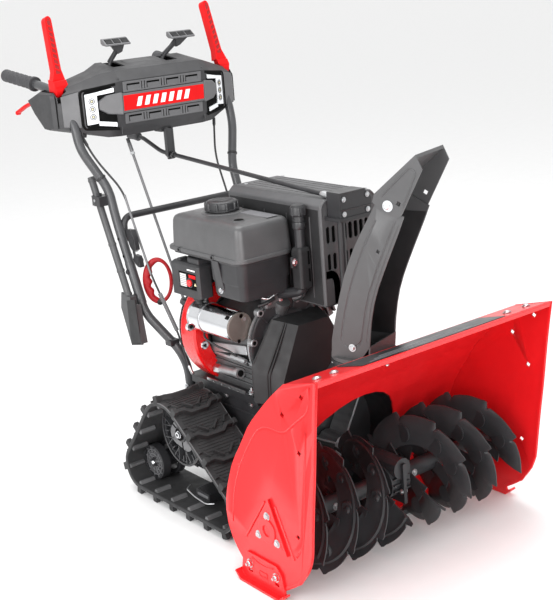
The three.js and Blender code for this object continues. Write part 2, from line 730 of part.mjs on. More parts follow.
function fuelTank() {
  const { left, right, front, back, low, high } = TANK;
  const upper = chamferedBox([right, front, low], [left, back, high], 14, 4);
  const seam = block([right - 4, front - 4, low - 8], [left + 2, back + 22, low + 1]);
  const lower = chamferedBox([right + 10, front + 8, 596], [left - 6, -118, low], 12);
  const shelf = block([-120, -130, 640], [left - 20, 20, low - 4]);
  const neck = rod(30, [CAP.x, CAP.y, high - 4], [CAP.x, CAP.y, high + 5], 24);
  const mouth = rod(24, [CAP.x, CAP.y, high - 30], [CAP.x, CAP.y, high + 9], 24);
  const gauge = rod(15, [-128, -176, high - 2], [-128, -176, high + 2], 20);
  return cut(join(upper, seam, lower, shelf, neck, gauge), mouth);
}

function fuelCap() {
  const z = TANK.high + 5 + GAP;
  const top = join(
    rod(42, [CAP.x, CAP.y, z + 3], [CAP.x, CAP.y, z + 20], 16),
    rod(42, [CAP.x, CAP.y, z + 19.9], [CAP.x, CAP.y, z + 25], 16, 36),
    rod(45, [CAP.x, CAP.y, z], [CAP.x, CAP.y, z + 4], 32),
  );
  return join(top, rod(21, [CAP.x, CAP.y, z - 18], [CAP.x, CAP.y, z + 1], 16));
}

const SWITCH = { face: -187, back: -140, front: -60, rear: 66, low: 572, high: 662 };
const BUTTON = { y: -22, z: 612 };
function switchBox() {
  const { face, back, front, rear, low, high } = SWITCH;
  const box = chamferedBox([face, front, low], [back, rear, high], 6);
  const hood = block([back - 2, front + 30, high - 30], [-121, rear - 20, high + 26]);
  const hole = rod(10, [face - 5, BUTTON.y, BUTTON.z], [face + 18, BUTTON.y, BUTTON.z], 20);
  return cut(join(box, hood), hole);
}

function mufflerCover() {
  const low = [-4, -342, 560];
  const high = [184, 35, 828];
  const box = chamferedBox(low, high, 10);
  const inside = block([low[0] + 4, low[1] + 4, low[2] - 5], [high[0] - 4, high[1] - 4, high[2] - 12]);
  const slots = [];
  for (const z of [648, 716]) {
    for (let i = 0; i < 8; i += 1) {
      if (i !== 4) slots.push(block([16 + 20 * i, -350, z], [24 + 20 * i, -330, z + 42]));
    }
  }
  return cut(box, inside, ...slots);
}

const OIL = { x: -27, y: -285 };
function oilFiller() {
  const clearOfBlock = rod(21, [-35, -150, 470], [-35, -209, 561], 16);
  const route = [[-35, -190, 566], [OIL.x, OIL.y - 4, 600], [OIL.x, OIL.y, 690], [OIL.x, OIL.y, 776]];
  return cut(bentRod(13, route, 22, 10), clearOfBlock);
}

function stopButton() {
  const { y, z } = BUTTON;
  return rod(9.3, [SWITCH.face - 7, y, z], [SWITCH.face + 8, y, z], 20);
}

add("engine_block", engineBlock(), "castAluminium");
add("fan_shroud", fanShroud(), "redPlastic");
add("recoil_cover", recoilCover(), "blackSteel");
add("starter_motor", starterMotor(), "chrome");
add("fuel_tank", fuelTank(), "plastic");
add("fuel_cap", fuelCap(), "plastic");
add("switch_box", switchBox(), "plastic");
add("stop_button", stopButton(), "redPlastic");
add("muffler_cover", mufflerCover(), "plastic");
add("oil_filler_tube", oilFiller(), "blackSteel");
add(
  "dipstick_cap",
  join(
    rod(21, [OIL.x, OIL.y, 776 + GAP], [OIL.x, OIL.y, 806], 12),
    rod(16, [OIL.x, OIL.y, 805], [OIL.x, OIL.y, 818], 12),
  ),
  "plastic",
);

// ---------------------------------------------------------------- handlebar
// The left tube's corner points, from the chassis up to the grip.
const barCorners = [
  [133, 108, 240],
  [134, 112, 340],
  [150, 122, 392],
  [206, 188, 497],
  [210, 277, 740],
  [209, 304, 828],
  [256, 350, 940],
  [257, 366, 1010],
  [256, 436, 1084],
  [258, 500, 1102],
  [259, GRIP_END_Y - 4, 1128],
];

// A point on the straight end of the left tube, at a place along Y.
function onGripLine(y) {
  const [a, b] = barCorners.slice(-2);
  const t = (y - a[1]) / (b[1] - a[1]);
  return a.map((c, i) => THREE.MathUtils.lerp(c, b[i], t));
}

function grip() {
  const sleeve = rod(17.5, onGripLine(560), onGripLine(GRIP_END_Y), 16);
  const collar = rod(21, onGripLine(560), onGripLine(572), 16);
  return cut(join(sleeve, collar), rod(TUBE + GAP + 0.3, onGripLine(520), onGripLine(GRIP_END_Y - 3.4), 16));
}

const handleTube = bentRod(TUBE, barCorners, 26);
const handleTubeRoom = bentRod(TUBE + GAP, barCorners, 26);
addPair("handlebar", handleTube, "blackSteel");
addPair("grip", grip(), "rubber");

function crossBar() {
  const x = 196;
  return bentRod(9.5, [[-x, 268, 690], [-x, 270, 752], [x, 270, 752], [x, 268, 690]], 34);
}
add("cross_bar", cut(crossBar(), handleTubeRoom, mirrored(handleTubeRoom)), "blackSteel");

function mirrored(body) {
  const geometry = geometryOf(body).toNonIndexed();
  geometry.scale(-1, 1, 1);
  flipFaces(geometry);
  return solid(geometry);
}

// ---------------------------------------------------------------- console
// Each lever: where its stalk leaves the console, where it meets the paddle, and the paddle's middle.
const SPEED_LEVER = { base: [-107, 402, 1150], top: [-72, 400, 1202], paddle: -80 };
const DEFLECTOR_LEVER = { base: [66, 400, 1150], top: [122, 400, 1202], paddle: 136 };

// Cross-sections of the console in (y, z), each at a distance from the middle.
const consoleSections = [
  {
    x: 302,
    ring: [
      [420, 994], [398, 1000], [398, 1080], [404, 1090],
      [470, 1090], [530, 1070], [500, 1036], [450, 996],
    ],
  },
  {
    x: 286,
    ring: [
      [396, 990], [377, 998], [380, 1086], [392, 1096],
      [470, 1098], [540, 1074], [504, 1034], [450, 990],
    ],
  },
  {
    x: 172,
    ring: [
      [336, 962], [330, 994], [326, 1104], [352, 1132],
      [430, 1138], [510, 1104], [505, 1000], [460, 968],
    ],
  },
  {
    x: 136,
    ring: [
      [330, 960], [313, 990], [307, 1110], [330, 1138],
      [430, 1156], [500, 1130], [500, 1000], [460, 966],
    ],
  },
];

function consoleLoft(inset) {
  const rings = [];
  const shrunk = ({ x, ring }) => {
    const mid = ring.reduce((sum, p) => [sum[0] + p[0] / 8, sum[1] + p[1] / 8], [0, 0]);
    return ring.map(([y, z]) => {
      const away = new THREE.Vector2(y - mid[0], z - mid[1]);
      away.setLength(Math.max(1, away.length() - inset * 1.2));
      return [x - (x > 280 ? inset : 0), mid[0] + away.x, mid[1] + away.y];
    });
  };
  for (const section of consoleSections) rings.push(shrunk(section));
  for (const ring of [...rings].reverse()) rings.push(ring.map(([x, y, z]) => [-x, y, z]));
  return loft(rings);
}

function consoleShell() {
  const body = cut(consoleLoft(0), consoleLoft(4));
  const room = bentRod(TUBE + 2, barCorners, 26);
  const bailSlot = join(
    block([262.5, 376, 1066], [291, 445, 1140]),
    block([246, 400, 1090], [291, 480, 1140]),
  );
  const cuts = [room, mirrored(room), bailSlot, mirrored(bailSlot)];
  for (const { base } of [SPEED_LEVER, DEFLECTOR_LEVER]) {
    cuts.push(block([base[0] - 10, 364, 1120], [base[0] + 28, 440, 1200]));
  }
  const triggerSlot = block([246, 490, 1010], [272, 560, 1074]);
  cuts.push(triggerSlot, mirrored(triggerSlot));
  return join(cut(body, ...cuts), crankBracket());
}

// The lamp is a C of clear plastic on the console's angled front face.
function headlight() {
  const frontAt = (x, z, out) => {
    const bulge = x < 172 ? (2.6 * (x - 136)) / 36 : (2.6 * (286 - x)) / 114;
    return [x, THREE.MathUtils.mapLinear(x, 136, 286, 310, 378) + bulge - out, z];
  };
  const strip = (corners) =>
    loft([corners.map(([x, z]) => frontAt(x, z, 1)), corners.map(([x, z]) => frontAt(x, z, 6))]);
  const outer = strip([[196, 1006], [222, 1000], [222, 1082], [196, 1088]]);
  const top = strip([[156, 1080], [200, 1074], [200, 1088], [156, 1094]]);
  const bottom = strip([[156, 992], [200, 998], [200, 1012], [156, 1004]]);
  return join(outer, top, bottom);
}

add("console", consoleShell(), "plastic");
const consoleRoom = consoleLoft(-0.4);
addPair("headlight", cut(headlight(), consoleRoom), "lens");

function crankBracket() {
  const [x, y, z] = CRANK_BRACKET;
  const plate = slab("y", [[x - 11, 966], [x + 11, 957], [x + 9, z - 14], [x - 9, z - 14]], y - 4, y + 4);
  const foot = block([x - 18, y + 8, 952], [x + 18, y + 44, 966]);
  return cut(join(plate, foot), rod(7.5, [x, y - 10, z], [x, y + 10, z], 16), consoleLoft(4));
}
add("chute_crank", crankRod(), "blackSteel");

// ---------------------------------------------------------------- levers and triggers
const BAIL = { x: 276.5, y: 406, z: 1100 };
function bailLever() {
  const { x, y, z } = BAIL;
  const section = (cx, cy, cz, halfX, halfY) => [
    [cx - halfX, cy - halfY, cz],
    [cx + halfX, cy - halfY, cz],
    [cx + halfX, cy + halfY, cz],
    [cx - halfX, cy + halfY, cz],
  ];
  const blade = loft([
    section(x, y, z - 4, 11, 24),
    section(x - 1, y + 2, z + 14, 11, 21),
    section(x - 9, y + 5, z + 30, 11, 19),
    section(x - 14, y + 12, z + 56, 10.5, 17),
    section(x - 18, y + 42, z + 182, 10, 16),
    section(x - 19, y + 45, z + 194, 7, 11),
  ]);
  return join(blade, rod(22, [x - 11, y, z], [x + 11, y, z], 16));
}

function trigger() {
  const under = [[506, 1056], [560, 1056], [620, 1044], [690, 1020]];
  const outline = [...under, [692, 1026], [624, 1053], [560, 1066], [506, 1064]];
  const blade = slab("x", outline, 252, 266);
  return join(blade, rod(8, [251, 512, 1060], [267, 512, 1060], 12));
}

function controlLever({ base, top, paddle }) {
  const pivot = [base[0], base[1], 1085];
  const stalk = bentRod(5, [pivot, base, top], 6, 8, 2);
  const hub = rod(8, [base[0] - 9, pivot[1], pivot[2]], [base[0] + 9, pivot[1], pivot[2]], 10);
  const low = [paddle - 45, top[1] - 16, top[2] - 2];
  const high = [paddle + 45, top[1] + 16, top[2] + 16];
  return join(stalk, hub, block(low, high, [0.12, 0, 0]));
}

addPair("bail_lever", bailLever(), "redPlastic");
addPair("steering_trigger", trigger(), "redPlastic");
add("speed_lever", controlLever(SPEED_LEVER), "plastic");
add("deflector_lever", controlLever(DEFLECTOR_LEVER), "plastic");

// ---------------------------------------------------------------- rods, cables and fittings
add("shift_rod", bentRod(4, [[-80, 390, 936], [-72, 160, 424], [-72, 150, 392]], 10, 8, 2), "bareSteel");
const driveCableRoute = [
  [-236, 364, 966],
  [-226, 326, 910],
  [-184, 270, 822],
  [-181, 246, 752],
  [-179, 180, 600],
  [-151, 118, 440],
  [-146, 88, 350],
  [-141, 80, 327],
];
const augerCableRoute = [
  [206, 372, 962],
  [170, 330, 860],
  [176, 290, 740],
  [170, 190, 520],
  [128, 150, 400],
  [116, 140, 334],
];
add("drive_cable", bentRod(3, driveCableRoute, 10, 8, 2), "rubber");
add("auger_cable", bentRod(3, augerCableRoute, 24, 8, 2), "rubber");

// The pull-start handle is a closed loop that hangs on a hook beside the right tube.
const PULL = { x: -152, y: 192, z: 575, turn: THREE.MathUtils.degToRad(-32) };
const pullFrame = new THREE.Group();
pullFrame.position.set(PULL.x, PULL.y, PULL.z);
pullFrame.rotation.z = PULL.turn;
machine.add(pullFrame);

function pullHandle() {
  const outer = new THREE.Shape();
  outer.absellipse(0, 0, 42, 66, 0, 2 * Math.PI);
  const inner = new THREE.Shape();
  inner.absellipse(4, 0, 26, 52, 0, 2 * Math.PI);
  return cut(slab("y", outer, -8, 8), slab("y", inner, -12, 12));
}
add("pull_handle", pullHandle(), "redPlastic", pullFrame);

function pullHook() {
  const back = [[200, 668], [216, 694], [240, 694], [236, 662]];
  const hook = [[190, 648], ...back, [214, 640], [206, 622], [196, 626]];
  const clamp = [[196, 700], [214, 716], [246, 724], [246, 700], [232, 684], [204, 676]];
  const body = join(slab("x", clamp, -205, -185), slab("x", hook, -205, -185));
  return cut(body, mirrored(handleTubeRoom));
}
add("pull_hook", pullHook(), "plastic");

// The clean-out tool lies along the right tube in a clip, with its paddle at the bottom.
const toolTop = [-232, 352, 860];
const toolNeck = [-232, 214, 530];
function cleanOutTool() {
  const stick = rod(10, toolTop, toolNeck, 12);
  const paddle = slab("x", [[240, 555], [176, 530], [160, 420], [214, 408], [250, 510]], -243, -237);
  const web = block([-243, 196, 512], [-223, 232, 548]);
  return join(stick, paddle, web);
}
add("clean_out_tool", cleanOutTool(), "blackSteel");

function toolClip() {
  const at = (t) => toolTop.map((c, i) => THREE.MathUtils.lerp(toolNeck[i], c, t));
  const low = at(0.78);
  const high = at(0.86);
  const body = rod(15, low, high, 16);
  const web = block([-246, 296, 786], [-208, 336, 812]);
  return cut(join(body, web), rod(10 + GAP, at(0.6), at(1), 12), mirrored(handleTubeRoom));
}
add("tool_clip", toolClip(), "plastic");

export default machine;
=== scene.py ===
import json
from math import atan2, cos, pi, radians, sin

import bmesh
import bpy
from mathutils import Matrix, Vector


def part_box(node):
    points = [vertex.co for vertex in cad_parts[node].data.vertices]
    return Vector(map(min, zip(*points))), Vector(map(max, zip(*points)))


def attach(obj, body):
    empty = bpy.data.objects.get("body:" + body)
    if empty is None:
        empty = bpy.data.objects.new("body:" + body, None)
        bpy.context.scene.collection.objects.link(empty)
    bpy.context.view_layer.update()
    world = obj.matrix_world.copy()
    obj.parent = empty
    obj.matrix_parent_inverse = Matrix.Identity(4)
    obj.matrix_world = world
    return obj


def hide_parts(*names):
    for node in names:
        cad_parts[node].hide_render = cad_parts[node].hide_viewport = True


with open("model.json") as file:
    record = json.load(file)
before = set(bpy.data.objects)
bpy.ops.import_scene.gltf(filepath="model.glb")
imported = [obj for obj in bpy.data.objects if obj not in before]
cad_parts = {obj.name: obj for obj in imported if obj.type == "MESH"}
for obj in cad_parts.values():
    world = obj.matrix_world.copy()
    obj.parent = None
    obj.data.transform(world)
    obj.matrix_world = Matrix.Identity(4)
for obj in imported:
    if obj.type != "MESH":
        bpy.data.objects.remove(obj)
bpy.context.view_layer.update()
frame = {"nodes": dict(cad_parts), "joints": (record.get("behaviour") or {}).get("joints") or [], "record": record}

# The shape code works in millimetres in the row frame; piece() turns it into metres.
MM = 0.001
scene = bpy.context.scene
scene.view_settings.view_transform = "Standard"


# ------------------------------------------------------------------ places from the frame
def corners(node):
    """The lowest and highest corner of a CAD node, in millimetres."""
    low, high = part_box(node)
    return Vector(low) / MM, Vector(high) / MM


def pivot(joint):
    """A joint's position in millimetres."""
    found = next(j for j in frame["joints"] if j["name"] == joint)
    return Vector(found["pos_m"]) / MM


# ------------------------------------------------------------------ camera
VIEW_ANGLES = (-37.08, 15.89, -4.47)  # azimuth, elevation and roll, in degrees
VIEW_PLACE = (-1.8026, -2.5210, 1.3934)
LENS_MM = 71.6


def make_camera():
    azimuth, elevation, roll = (radians(a) for a in VIEW_ANGLES)
    sin_a, cos_a = sin(azimuth), cos(azimuth)
    sin_e, cos_e = sin(elevation), cos(elevation)
    back = Vector((sin_a * cos_e, -cos_a * cos_e, sin_e))
    right = Vector((cos_a, sin_a, 0))
    up = back.cross(right)
    rolled_right = cos(roll) * right + sin(roll) * up
    rolled_up = cos(roll) * up - sin(roll) * right
    camera = bpy.data.objects.new("camera", bpy.data.cameras.new("camera"))
    scene.collection.objects.link(camera)
    turn = Matrix((rolled_right, rolled_up, back)).transposed().to_4x4()
    camera.matrix_world = Matrix.Translation(VIEW_PLACE) @ turn
    camera.data.lens = LENS_MM
    camera.data.clip_start = 0.05
    scene.camera = camera


# ------------------------------------------------------------------ materials
def node(tree, kind, inputs=None, **settings):
    made = tree.nodes.new(kind)
    for key, value in settings.items():
        setattr(made, key, value)
    for key, value in (inputs or {}).items():
        made.inputs[key].default_value = value
    return made


def finish(
    name, colour, roughness, metallic=0.0, grain=1.2, bump=0.05, mottle=0.06, coat=0.0, specular=0.5,
    wear=0.0, stretch=(1, 1, 1), pits=False
):
    """A procedural finish. grain is the size of its bumps in millimetres and mottle its uneven colour.
    wear adds sparse pale scuffs, stretch draws the grain out into brushing, and pits makes it cellular."""
    made = bpy.data.materials.new(name)
    made.use_nodes = True
    tree = made.node_tree
    link = tree.links.new
    shader = tree.nodes["Principled BSDF"]
    shader.inputs["Metallic"].default_value = metallic
    shader.inputs["Specular IOR Level"].default_value = specular
    shader.inputs["Coat Weight"].default_value = coat
    shader.inputs["Coat Roughness"].default_value = 0.12
    place = node(tree, "ShaderNodeTexCoord")
    spread = node(tree, "ShaderNodeMapping")
    spread.inputs["Scale"].default_value = stretch
    link(place.outputs["Object"], spread.inputs["Vector"])

    cloud = node(tree, "ShaderNodeTexNoise", {"Scale": 14.0, "Detail": 5.0, "Roughness": 0.6})
    link(spread.outputs[0], cloud.inputs["Vector"])
    dark = [c * (1 - mottle) for c in colour]
    light = [min(1.0, c * (1 + mottle) + 0.02 * mottle) for c in colour]
    tint = node(tree, "ShaderNodeValToRGB")
    tint.color_ramp.elements[0].position = 0.3
    tint.color_ramp.elements[1].position = 0.7
    tint.color_ramp.elements[0].color = (*dark, 1)
    tint.color_ramp.elements[1].color = (*light, 1)
    link(cloud.outputs["Fac"], tint.inputs["Fac"])
    shade = tint.outputs["Color"]
    if wear:
        scuff = node(tree, "ShaderNodeTexNoise", {"Scale": 55.0, "Detail": 8.0, "Roughness": 0.75})
        link(place.outputs["Object"], scuff.inputs["Vector"])
        mask = node(tree, "ShaderNodeMapRange", {"From Min": 0.66, "From Max": 0.74, "To Max": wear})
        link(scuff.outputs["Fac"], mask.inputs["Value"])
        mix = node(tree, "ShaderNodeMix", data_type="RGBA")
        mix.inputs["B"].default_value = (*[0.5 * c + 0.28 for c in colour], 1)
        link(mask.outputs["Result"], mix.inputs["Factor"])
        link(shade, mix.inputs["A"])
        shade = mix.outputs["Result"]
    link(shade, shader.inputs["Base Color"])

    gloss = node(tree, "ShaderNodeTexNoise", {"Scale": 38.0, "Detail": 4.0})
    link(spread.outputs[0], gloss.inputs["Vector"])
    rough = node(
        tree, "ShaderNodeMapRange",
        {"From Min": 0.3, "From Max": 0.7, "To Min": roughness * 0.85, "To Max": min(1, roughness * 1.18)}
    )
    link(gloss.outputs["Fac"], rough.inputs["Value"])
    link(rough.outputs["Result"], shader.inputs["Roughness"])

    if pits:
        fine = node(tree, "ShaderNodeTexVoronoi", {"Scale": 1000 / grain})
        height = fine.outputs["Distance"]
    else:
        fine = node(tree, "ShaderNodeTexNoise", {"Scale": 1000 / grain, "Detail": 3.0})
        height = fine.outputs["Fac"]
    link(spread.outputs[0], fine.inputs["Vector"])
    relief = node(tree, "ShaderNodeBump", {"Strength": min(1, bump * 4), "Distance": bump * MM})
    link(height, relief.inputs["Height"])
    link(relief.outputs["Normal"], shader.inputs["Normal"])
    return made


RED = finish("red_powder_coat", (0.66, 0.008, 0.011), 0.34, grain=2.2, bump=0.05, mottle=0.04, coat=0.15)
RED_PLASTIC = finish(
    "red_moulding", (0.60, 0.005, 0.006), 0.40, grain=0.9, bump=0.05, mottle=0.05, specular=0.14
)
BLACK_COAT = finish(
    "black_powder_coat", (0.016, 0.016, 0.018), 0.42, grain=1.6, bump=0.08, mottle=0.25, wear=0.10
)
TUBE_COAT = finish(
    "tube_powder_coat", (0.040, 0.041, 0.044), 0.38, grain=1.4, bump=0.06, mottle=0.15, coat=0.2
)
CHUTE_COAT = finish(
    "chute_powder_coat", (0.062, 0.062, 0.064), 0.44, grain=1.8, bump=0.07, mottle=0.06, coat=0.1
)
# Darker coat for the sheets just inside the chute walls: painted shade inside the chute.
CHUTE_PAINTED_SHADE = finish("chute_inner_painted_shade", (0.012, 0.012, 0.013), 0.5, grain=1.8, bump=0.07, mottle=0.2)
PLASTIC = finish("black_moulding", (0.026, 0.026, 0.028), 0.48, grain=0.7, bump=0.07, mottle=0.12, pits=True)
SMOOTH_PLASTIC = finish(
    "black_smooth_moulding", (0.022, 0.022, 0.024), 0.33, grain=1.1, bump=0.03, mottle=0.12
)
TANK = finish("tank_moulding", (0.068, 0.068, 0.070), 0.36, grain=1.0, bump=0.05, mottle=0.12, coat=0.1)
RUBBER = finish("track_rubber", (0.018, 0.018, 0.019), 0.66, grain=1.5, bump=0.16, mottle=0.35, wear=0.12)
GRIP = finish("grip_rubber", (0.040, 0.040, 0.043), 0.62, grain=0.8, bump=0.10, mottle=0.15)
CAST = finish(
    "cast_aluminium", (0.42, 0.43, 0.44), 0.46, metallic=0.85, grain=1.6, bump=0.22, mottle=0.14, pits=True
)
ENGINE_BLACK = finish(
    "engine_black_paint", (0.020, 0.020, 0.022), 0.45, grain=1.5, bump=0.18, mottle=0.3, pits=True
)
CHROME = finish("chrome_plate", (0.72, 0.73, 0.75), 0.13, metallic=1.0, grain=3.0, bump=0.01, mottle=0.04)
ZINC = finish(
    "zinc_plate", (0.55, 0.56, 0.57), 0.32, metallic=1.0, grain=1.4, bump=0.05, mottle=0.10,
    stretch=(1, 6, 6)
)
STEEL = finish(
    "worn_steel", (0.36, 0.36, 0.37), 0.36, metallic=0.9, grain=1.0, bump=0.08, mottle=0.2,
    stretch=(8, 1, 1)
)
CABLE = finish("cable_sheath", (0.012, 0.012, 0.013), 0.45, grain=1.0, bump=0.05, mottle=0.1)
LENS = finish("lamp_cover", (0.74, 0.76, 0.78), 0.22, grain=2.0, bump=0.04, mottle=0.03, coat=0.4)
LED = finish("lamp_emitter", (0.80, 0.72, 0.42), 0.3, grain=1.0, bump=0.05, mottle=0.1)
END_CAP = finish("motor_end_cap", (0.16, 0.145, 0.13), 0.5, metallic=0.5, grain=1.2, bump=0.15, mottle=0.15)
# Near-black painted shade: discs and sheets standing in for the shade inside holes, slots, pockets and recesses
# and behind openings; it also colours a few dark seam lines and the gauge glass.
PAINTED_SHADE_AND_SEAMS = finish("painted_shade_and_seams", (0.003, 0.003, 0.003), 0.9, grain=2.0, bump=0.05, mottle=0.2, specular=0.08)
HUB_GREY = finish("grey_moulding", (0.115, 0.115, 0.12), 0.40, grain=0.9, bump=0.08, mottle=0.10, pits=True)
LABEL_PALE = finish("pale_label", (0.62, 0.62, 0.60), 0.4, grain=2.0, bump=0.02, mottle=0.05)
RED_GLOSS = finish(
    "red_gloss_moulding", (0.66, 0.005, 0.006), 0.26, grain=1.4, bump=0.03, mottle=0.04, coat=0.3
)
DARK_CAST = finish(
    "dark_cast_aluminium", (0.13, 0.132, 0.135), 0.48, metallic=0.7, grain=1.6, bump=0.25, mottle=0.25,
    pits=True
)
# Lighter rubber for the belt's side edges and inner ribs: a painted highlight where light catches them, with
# sparse wear scuffs on top.
BELT_PAINTED_HIGHLIGHT = finish("rubber_painted_highlight_and_wear", (0.095, 0.095, 0.098), 0.6, grain=1.5, bump=0.12, mottle=0.3, wear=0.15)
LABEL_WHITE = finish("white_print", (0.80, 0.80, 0.79), 0.4, grain=2.0, bump=0.02, mottle=0.03)
AUGER_COAT = finish(
    "auger_coat", (0.024, 0.024, 0.026), 0.36, grain=1.6, bump=0.08, mottle=0.2, specular=0.4, wear=0.08
)
# Darker red as painted shade: the panel between the bail lever's ribs and the small disc at its tip.
RED_PAINTED_SHADE = finish("red_painted_shade", (0.27, 0.003, 0.004), 0.45, grain=0.9, bump=0.05, mottle=0.1)
RED_HANDLE = finish(
    "red_handle_moulding", (0.34, 0.006, 0.010), 0.42, grain=0.9, bump=0.05, mottle=0.08, specular=0.3
)
TOOL_COAT = finish("tool_moulding", (0.055, 0.056, 0.058), 0.45, grain=0.9, bump=0.06, mottle=0.12, pits=True)
CONDUIT = finish("grey_conduit", (0.16, 0.16, 0.165), 0.4, metallic=0.4, grain=1.0, bump=0.08, mottle=0.12)
CONSOLE_GREY = finish(
    "console_moulding", (0.10, 0.10, 0.104), 0.42, grain=0.8, bump=0.06, mottle=0.08, pits=True
)
COVER_DARK = finish(
    "belt_cover_moulding", (0.019, 0.019, 0.020), 0.50, grain=0.9, bump=0.05, mottle=0.1, specular=0.3
)
TANK_DARK = finish(
    "tank_shroud_moulding", (0.024, 0.024, 0.026), 0.42, grain=1.0, bump=0.05, mottle=0.12, specular=0.35
)
COVER_GREY = finish(
    "muffler_cover_moulding", (0.075, 0.075, 0.078), 0.5, grain=0.7, bump=0.07, mottle=0.1, pits=True
)
LABEL = finish("label_film", (0.16, 0.16, 0.17), 0.35, grain=2.0, bump=0.02, mottle=0.08)


# ------------------------------------------------------------------ shapes, in millimetres
def to_mesh(shape):
    shape.normal_update()
    mesh = bpy.data.meshes.new("shape")
    shape.to_mesh(mesh)
    shape.free()
    return mesh


def from_faces(points, faces):
    mesh = bpy.data.meshes.new("shape")
    mesh.from_pydata([tuple(p) for p in points], [], faces)
    shape = bmesh.new()
    shape.from_mesh(mesh)
    bmesh.ops.recalc_face_normals(shape, faces=shape.faces)
    return to_mesh(shape)


def loft(rings, closed=False):
    """A skin over rings of equally many points, with flat ends, or joined end to end when closed."""
    count = len(rings[0])
    points = [p for ring in rings for p in ring]
    faces = []
    for i in range(len(rings) if closed else len(rings) - 1):
        here, there = i * count, (i + 1) % len(rings) * count
        for j in range(count):
            k = (j + 1) % count
            faces.append((here + j, here + k, there + k, there + j))
    if not closed:
        faces.append(tuple(range(count)))
        faces.append(tuple(range((len(rings) - 1) * count, len(rings) * count)))
    return from_faces(points, faces)


def lift(axis, u, v, w):
    """The point at (u, v) in the plane across an axis, at w along it."""
    return {"x": (w, u, v), "y": (u, w, v), "z": (u, v, w)}[axis]


def prism(axis, outline, start, end):
    return loft([[lift(axis, u, v, w) for u, v in outline] for w in (start, end)])


def box(low, high, turn=None):
    (x0, y0, z0), (x1, y1, z1) = low, high
    mesh = prism("z", [(x0, y0), (x1, y0), (x1, y1), (x0, y1)], z0, z1)
    if turn is not None:
        middle = (Vector(low) + Vector(high)) / 2
        mesh.transform(Matrix.Translation(middle) @ turn.to_4x4() @ Matrix.Translation(-middle))
    return mesh


def box_between(a, b):
    """A box from any two opposite corners."""
    return box(tuple(map(min, a, b)), tuple(map(max, a, b)))


def across(direction):
    """Two unit vectors square to a direction and to each other."""
    side = direction.cross(Vector((1, 0, 0)) if abs(direction.x) < 0.9 else Vector((0, 1, 0))).normalized()
    return side, direction.cross(side).normalized()


def circle(centre, direction, radius, sides):
    side, other = across(direction)
    angles = [2 * pi * k / sides for k in range(sides)]
    return [centre + side * radius * cos(a) + other * radius * sin(a) for a in angles]


def turned(profile, start, end, sides=40):
    """A turned piece along the line from start to end; profile is a list of (share of the line, radius)."""
    a, b = Vector(start), Vector(end)
    direction = (b - a).normalized()
    return loft([circle(a.lerp(b, t), direction, r, sides) for t, r in profile])


def bar(radius, start, end, sides=32, end_radius=None):
    return turned([(0, radius), (1, radius if end_radius is None else end_radius)], start, end, sides)


def ring(outer, inner, start, end, sides=40):
    """A flat ring or tube wall along the line from start to end."""
    a, b = Vector(start), Vector(end)
    direction = (b - a).normalized()
    return loft(
        [circle(p, direction, r, sides) for p, r in ((a, inner), (a, outer), (b, outer), (b, inner))],
        closed=True
    )


def rounded(points, bend, arc=6):
    """A line with its corners rounded off."""
    points = [Vector(p) for p in points]
    line = [points[0]]
    for before, corner, after in zip(points, points[1:], points[2:]):
        reach = min(bend, (before - corner).length * 0.49, (after - corner).length * 0.49)
        a = corner + (before - corner).normalized() * reach
        b = corner + (after - corner).normalized() * reach
        for step in range(arc + 1):
            t = step / arc
            line.append(a.lerp(corner, t).lerp(corner.lerp(b, t), t))
    line.append(points[-1])
    return line


def swept(section, line):
    """A section of (u, v) points carried along a line without twist; u starts out sideways."""
    tangent = (line[1] - line[0]).normalized()
    side = Vector((1, 0, 0))
    side = (side - tangent * side.dot(tangent))
    side = side.normalized() if side.length > 0.1 else across(tangent)[0]
    rings = []
    for i, point in enumerate(line):
        ahead = (line[min(i + 1, len(line) - 1)] - line[max(i - 1, 0)]).normalized()
        side = tangent.rotation_difference(ahead) @ side
        tangent = ahead
        up = tangent.cross(side)
        rings.append([point + side * u + up * v for u, v in section])
    return loft(rings)


def pipe(radius, points, bend=0, sides=16, arc=6):
    line = rounded(points, bend, arc) if bend else [Vector(p) for p in points]
    section = [(radius * cos(2 * pi * k / sides), radius * sin(2 * pi * k / sides)) for k in range(sides)]
    return swept(section, line)


def bolt(place, direction, radius=7, height=6, washer=1.45):
    """A hexagon head on a washer."""
    a = Vector(place)
    d = Vector(direction).normalized()
    head = turned([(0, radius), (0.8, radius), (1, radius * 0.82)], a, a + d * height, 6)
    flat = bar(radius * washer, a - d * 0.5, a + d * 1.6, 24)
    return joined(head, flat)


def joined(*meshes):
    shape = bmesh.new()
    for mesh in meshes:
        shape.from_mesh(mesh)
    return to_mesh(shape)


def modified(mesh, *modifiers):
    """The mesh after modifiers, each given as (kind, settings)."""
    thing = bpy.data.objects.new("work", mesh)
    scene.collection.objects.link(thing)
    for kind, settings in modifiers:
        modifier = thing.modifiers.new("m", kind)
        for key, value in settings.items():
            setattr(modifier, key, value)
    result = bpy.data.meshes.new_from_object(thing.evaluated_get(bpy.context.evaluated_depsgraph_get()))
    bpy.data.objects.remove(thing)
    return result


def soft(mesh, width, segments=2, angle=28):
    """The mesh with its sharp edges rounded over."""
    settings = {
        "width": width, "segments": segments, "limit_method": "ANGLE", "angle_limit": radians(angle),
        "use_clamp_overlap": True
    }
    return modified(mesh, ("BEVEL", settings))


def carved(mesh, *tools, operation="DIFFERENCE", solver="MANIFOLD"):
    """The mesh with tools cut out of it, or joined to it."""
    tool = bpy.data.objects.new("tool", joined(*tools))
    scene.collection.objects.link(tool)
    result = modified(mesh, ("BOOLEAN", {"operation": operation, "solver": solver, "object": tool}))
    bpy.data.objects.remove(tool)
    return result


def mirrored(mesh):
    shape = bmesh.new()
    shape.from_mesh(mesh)
    bmesh.ops.scale(shape, vec=(-1, 1, 1), verts=shape.verts)
    bmesh.ops.reverse_faces(shape, faces=shape.faces)
    return to_mesh(shape)


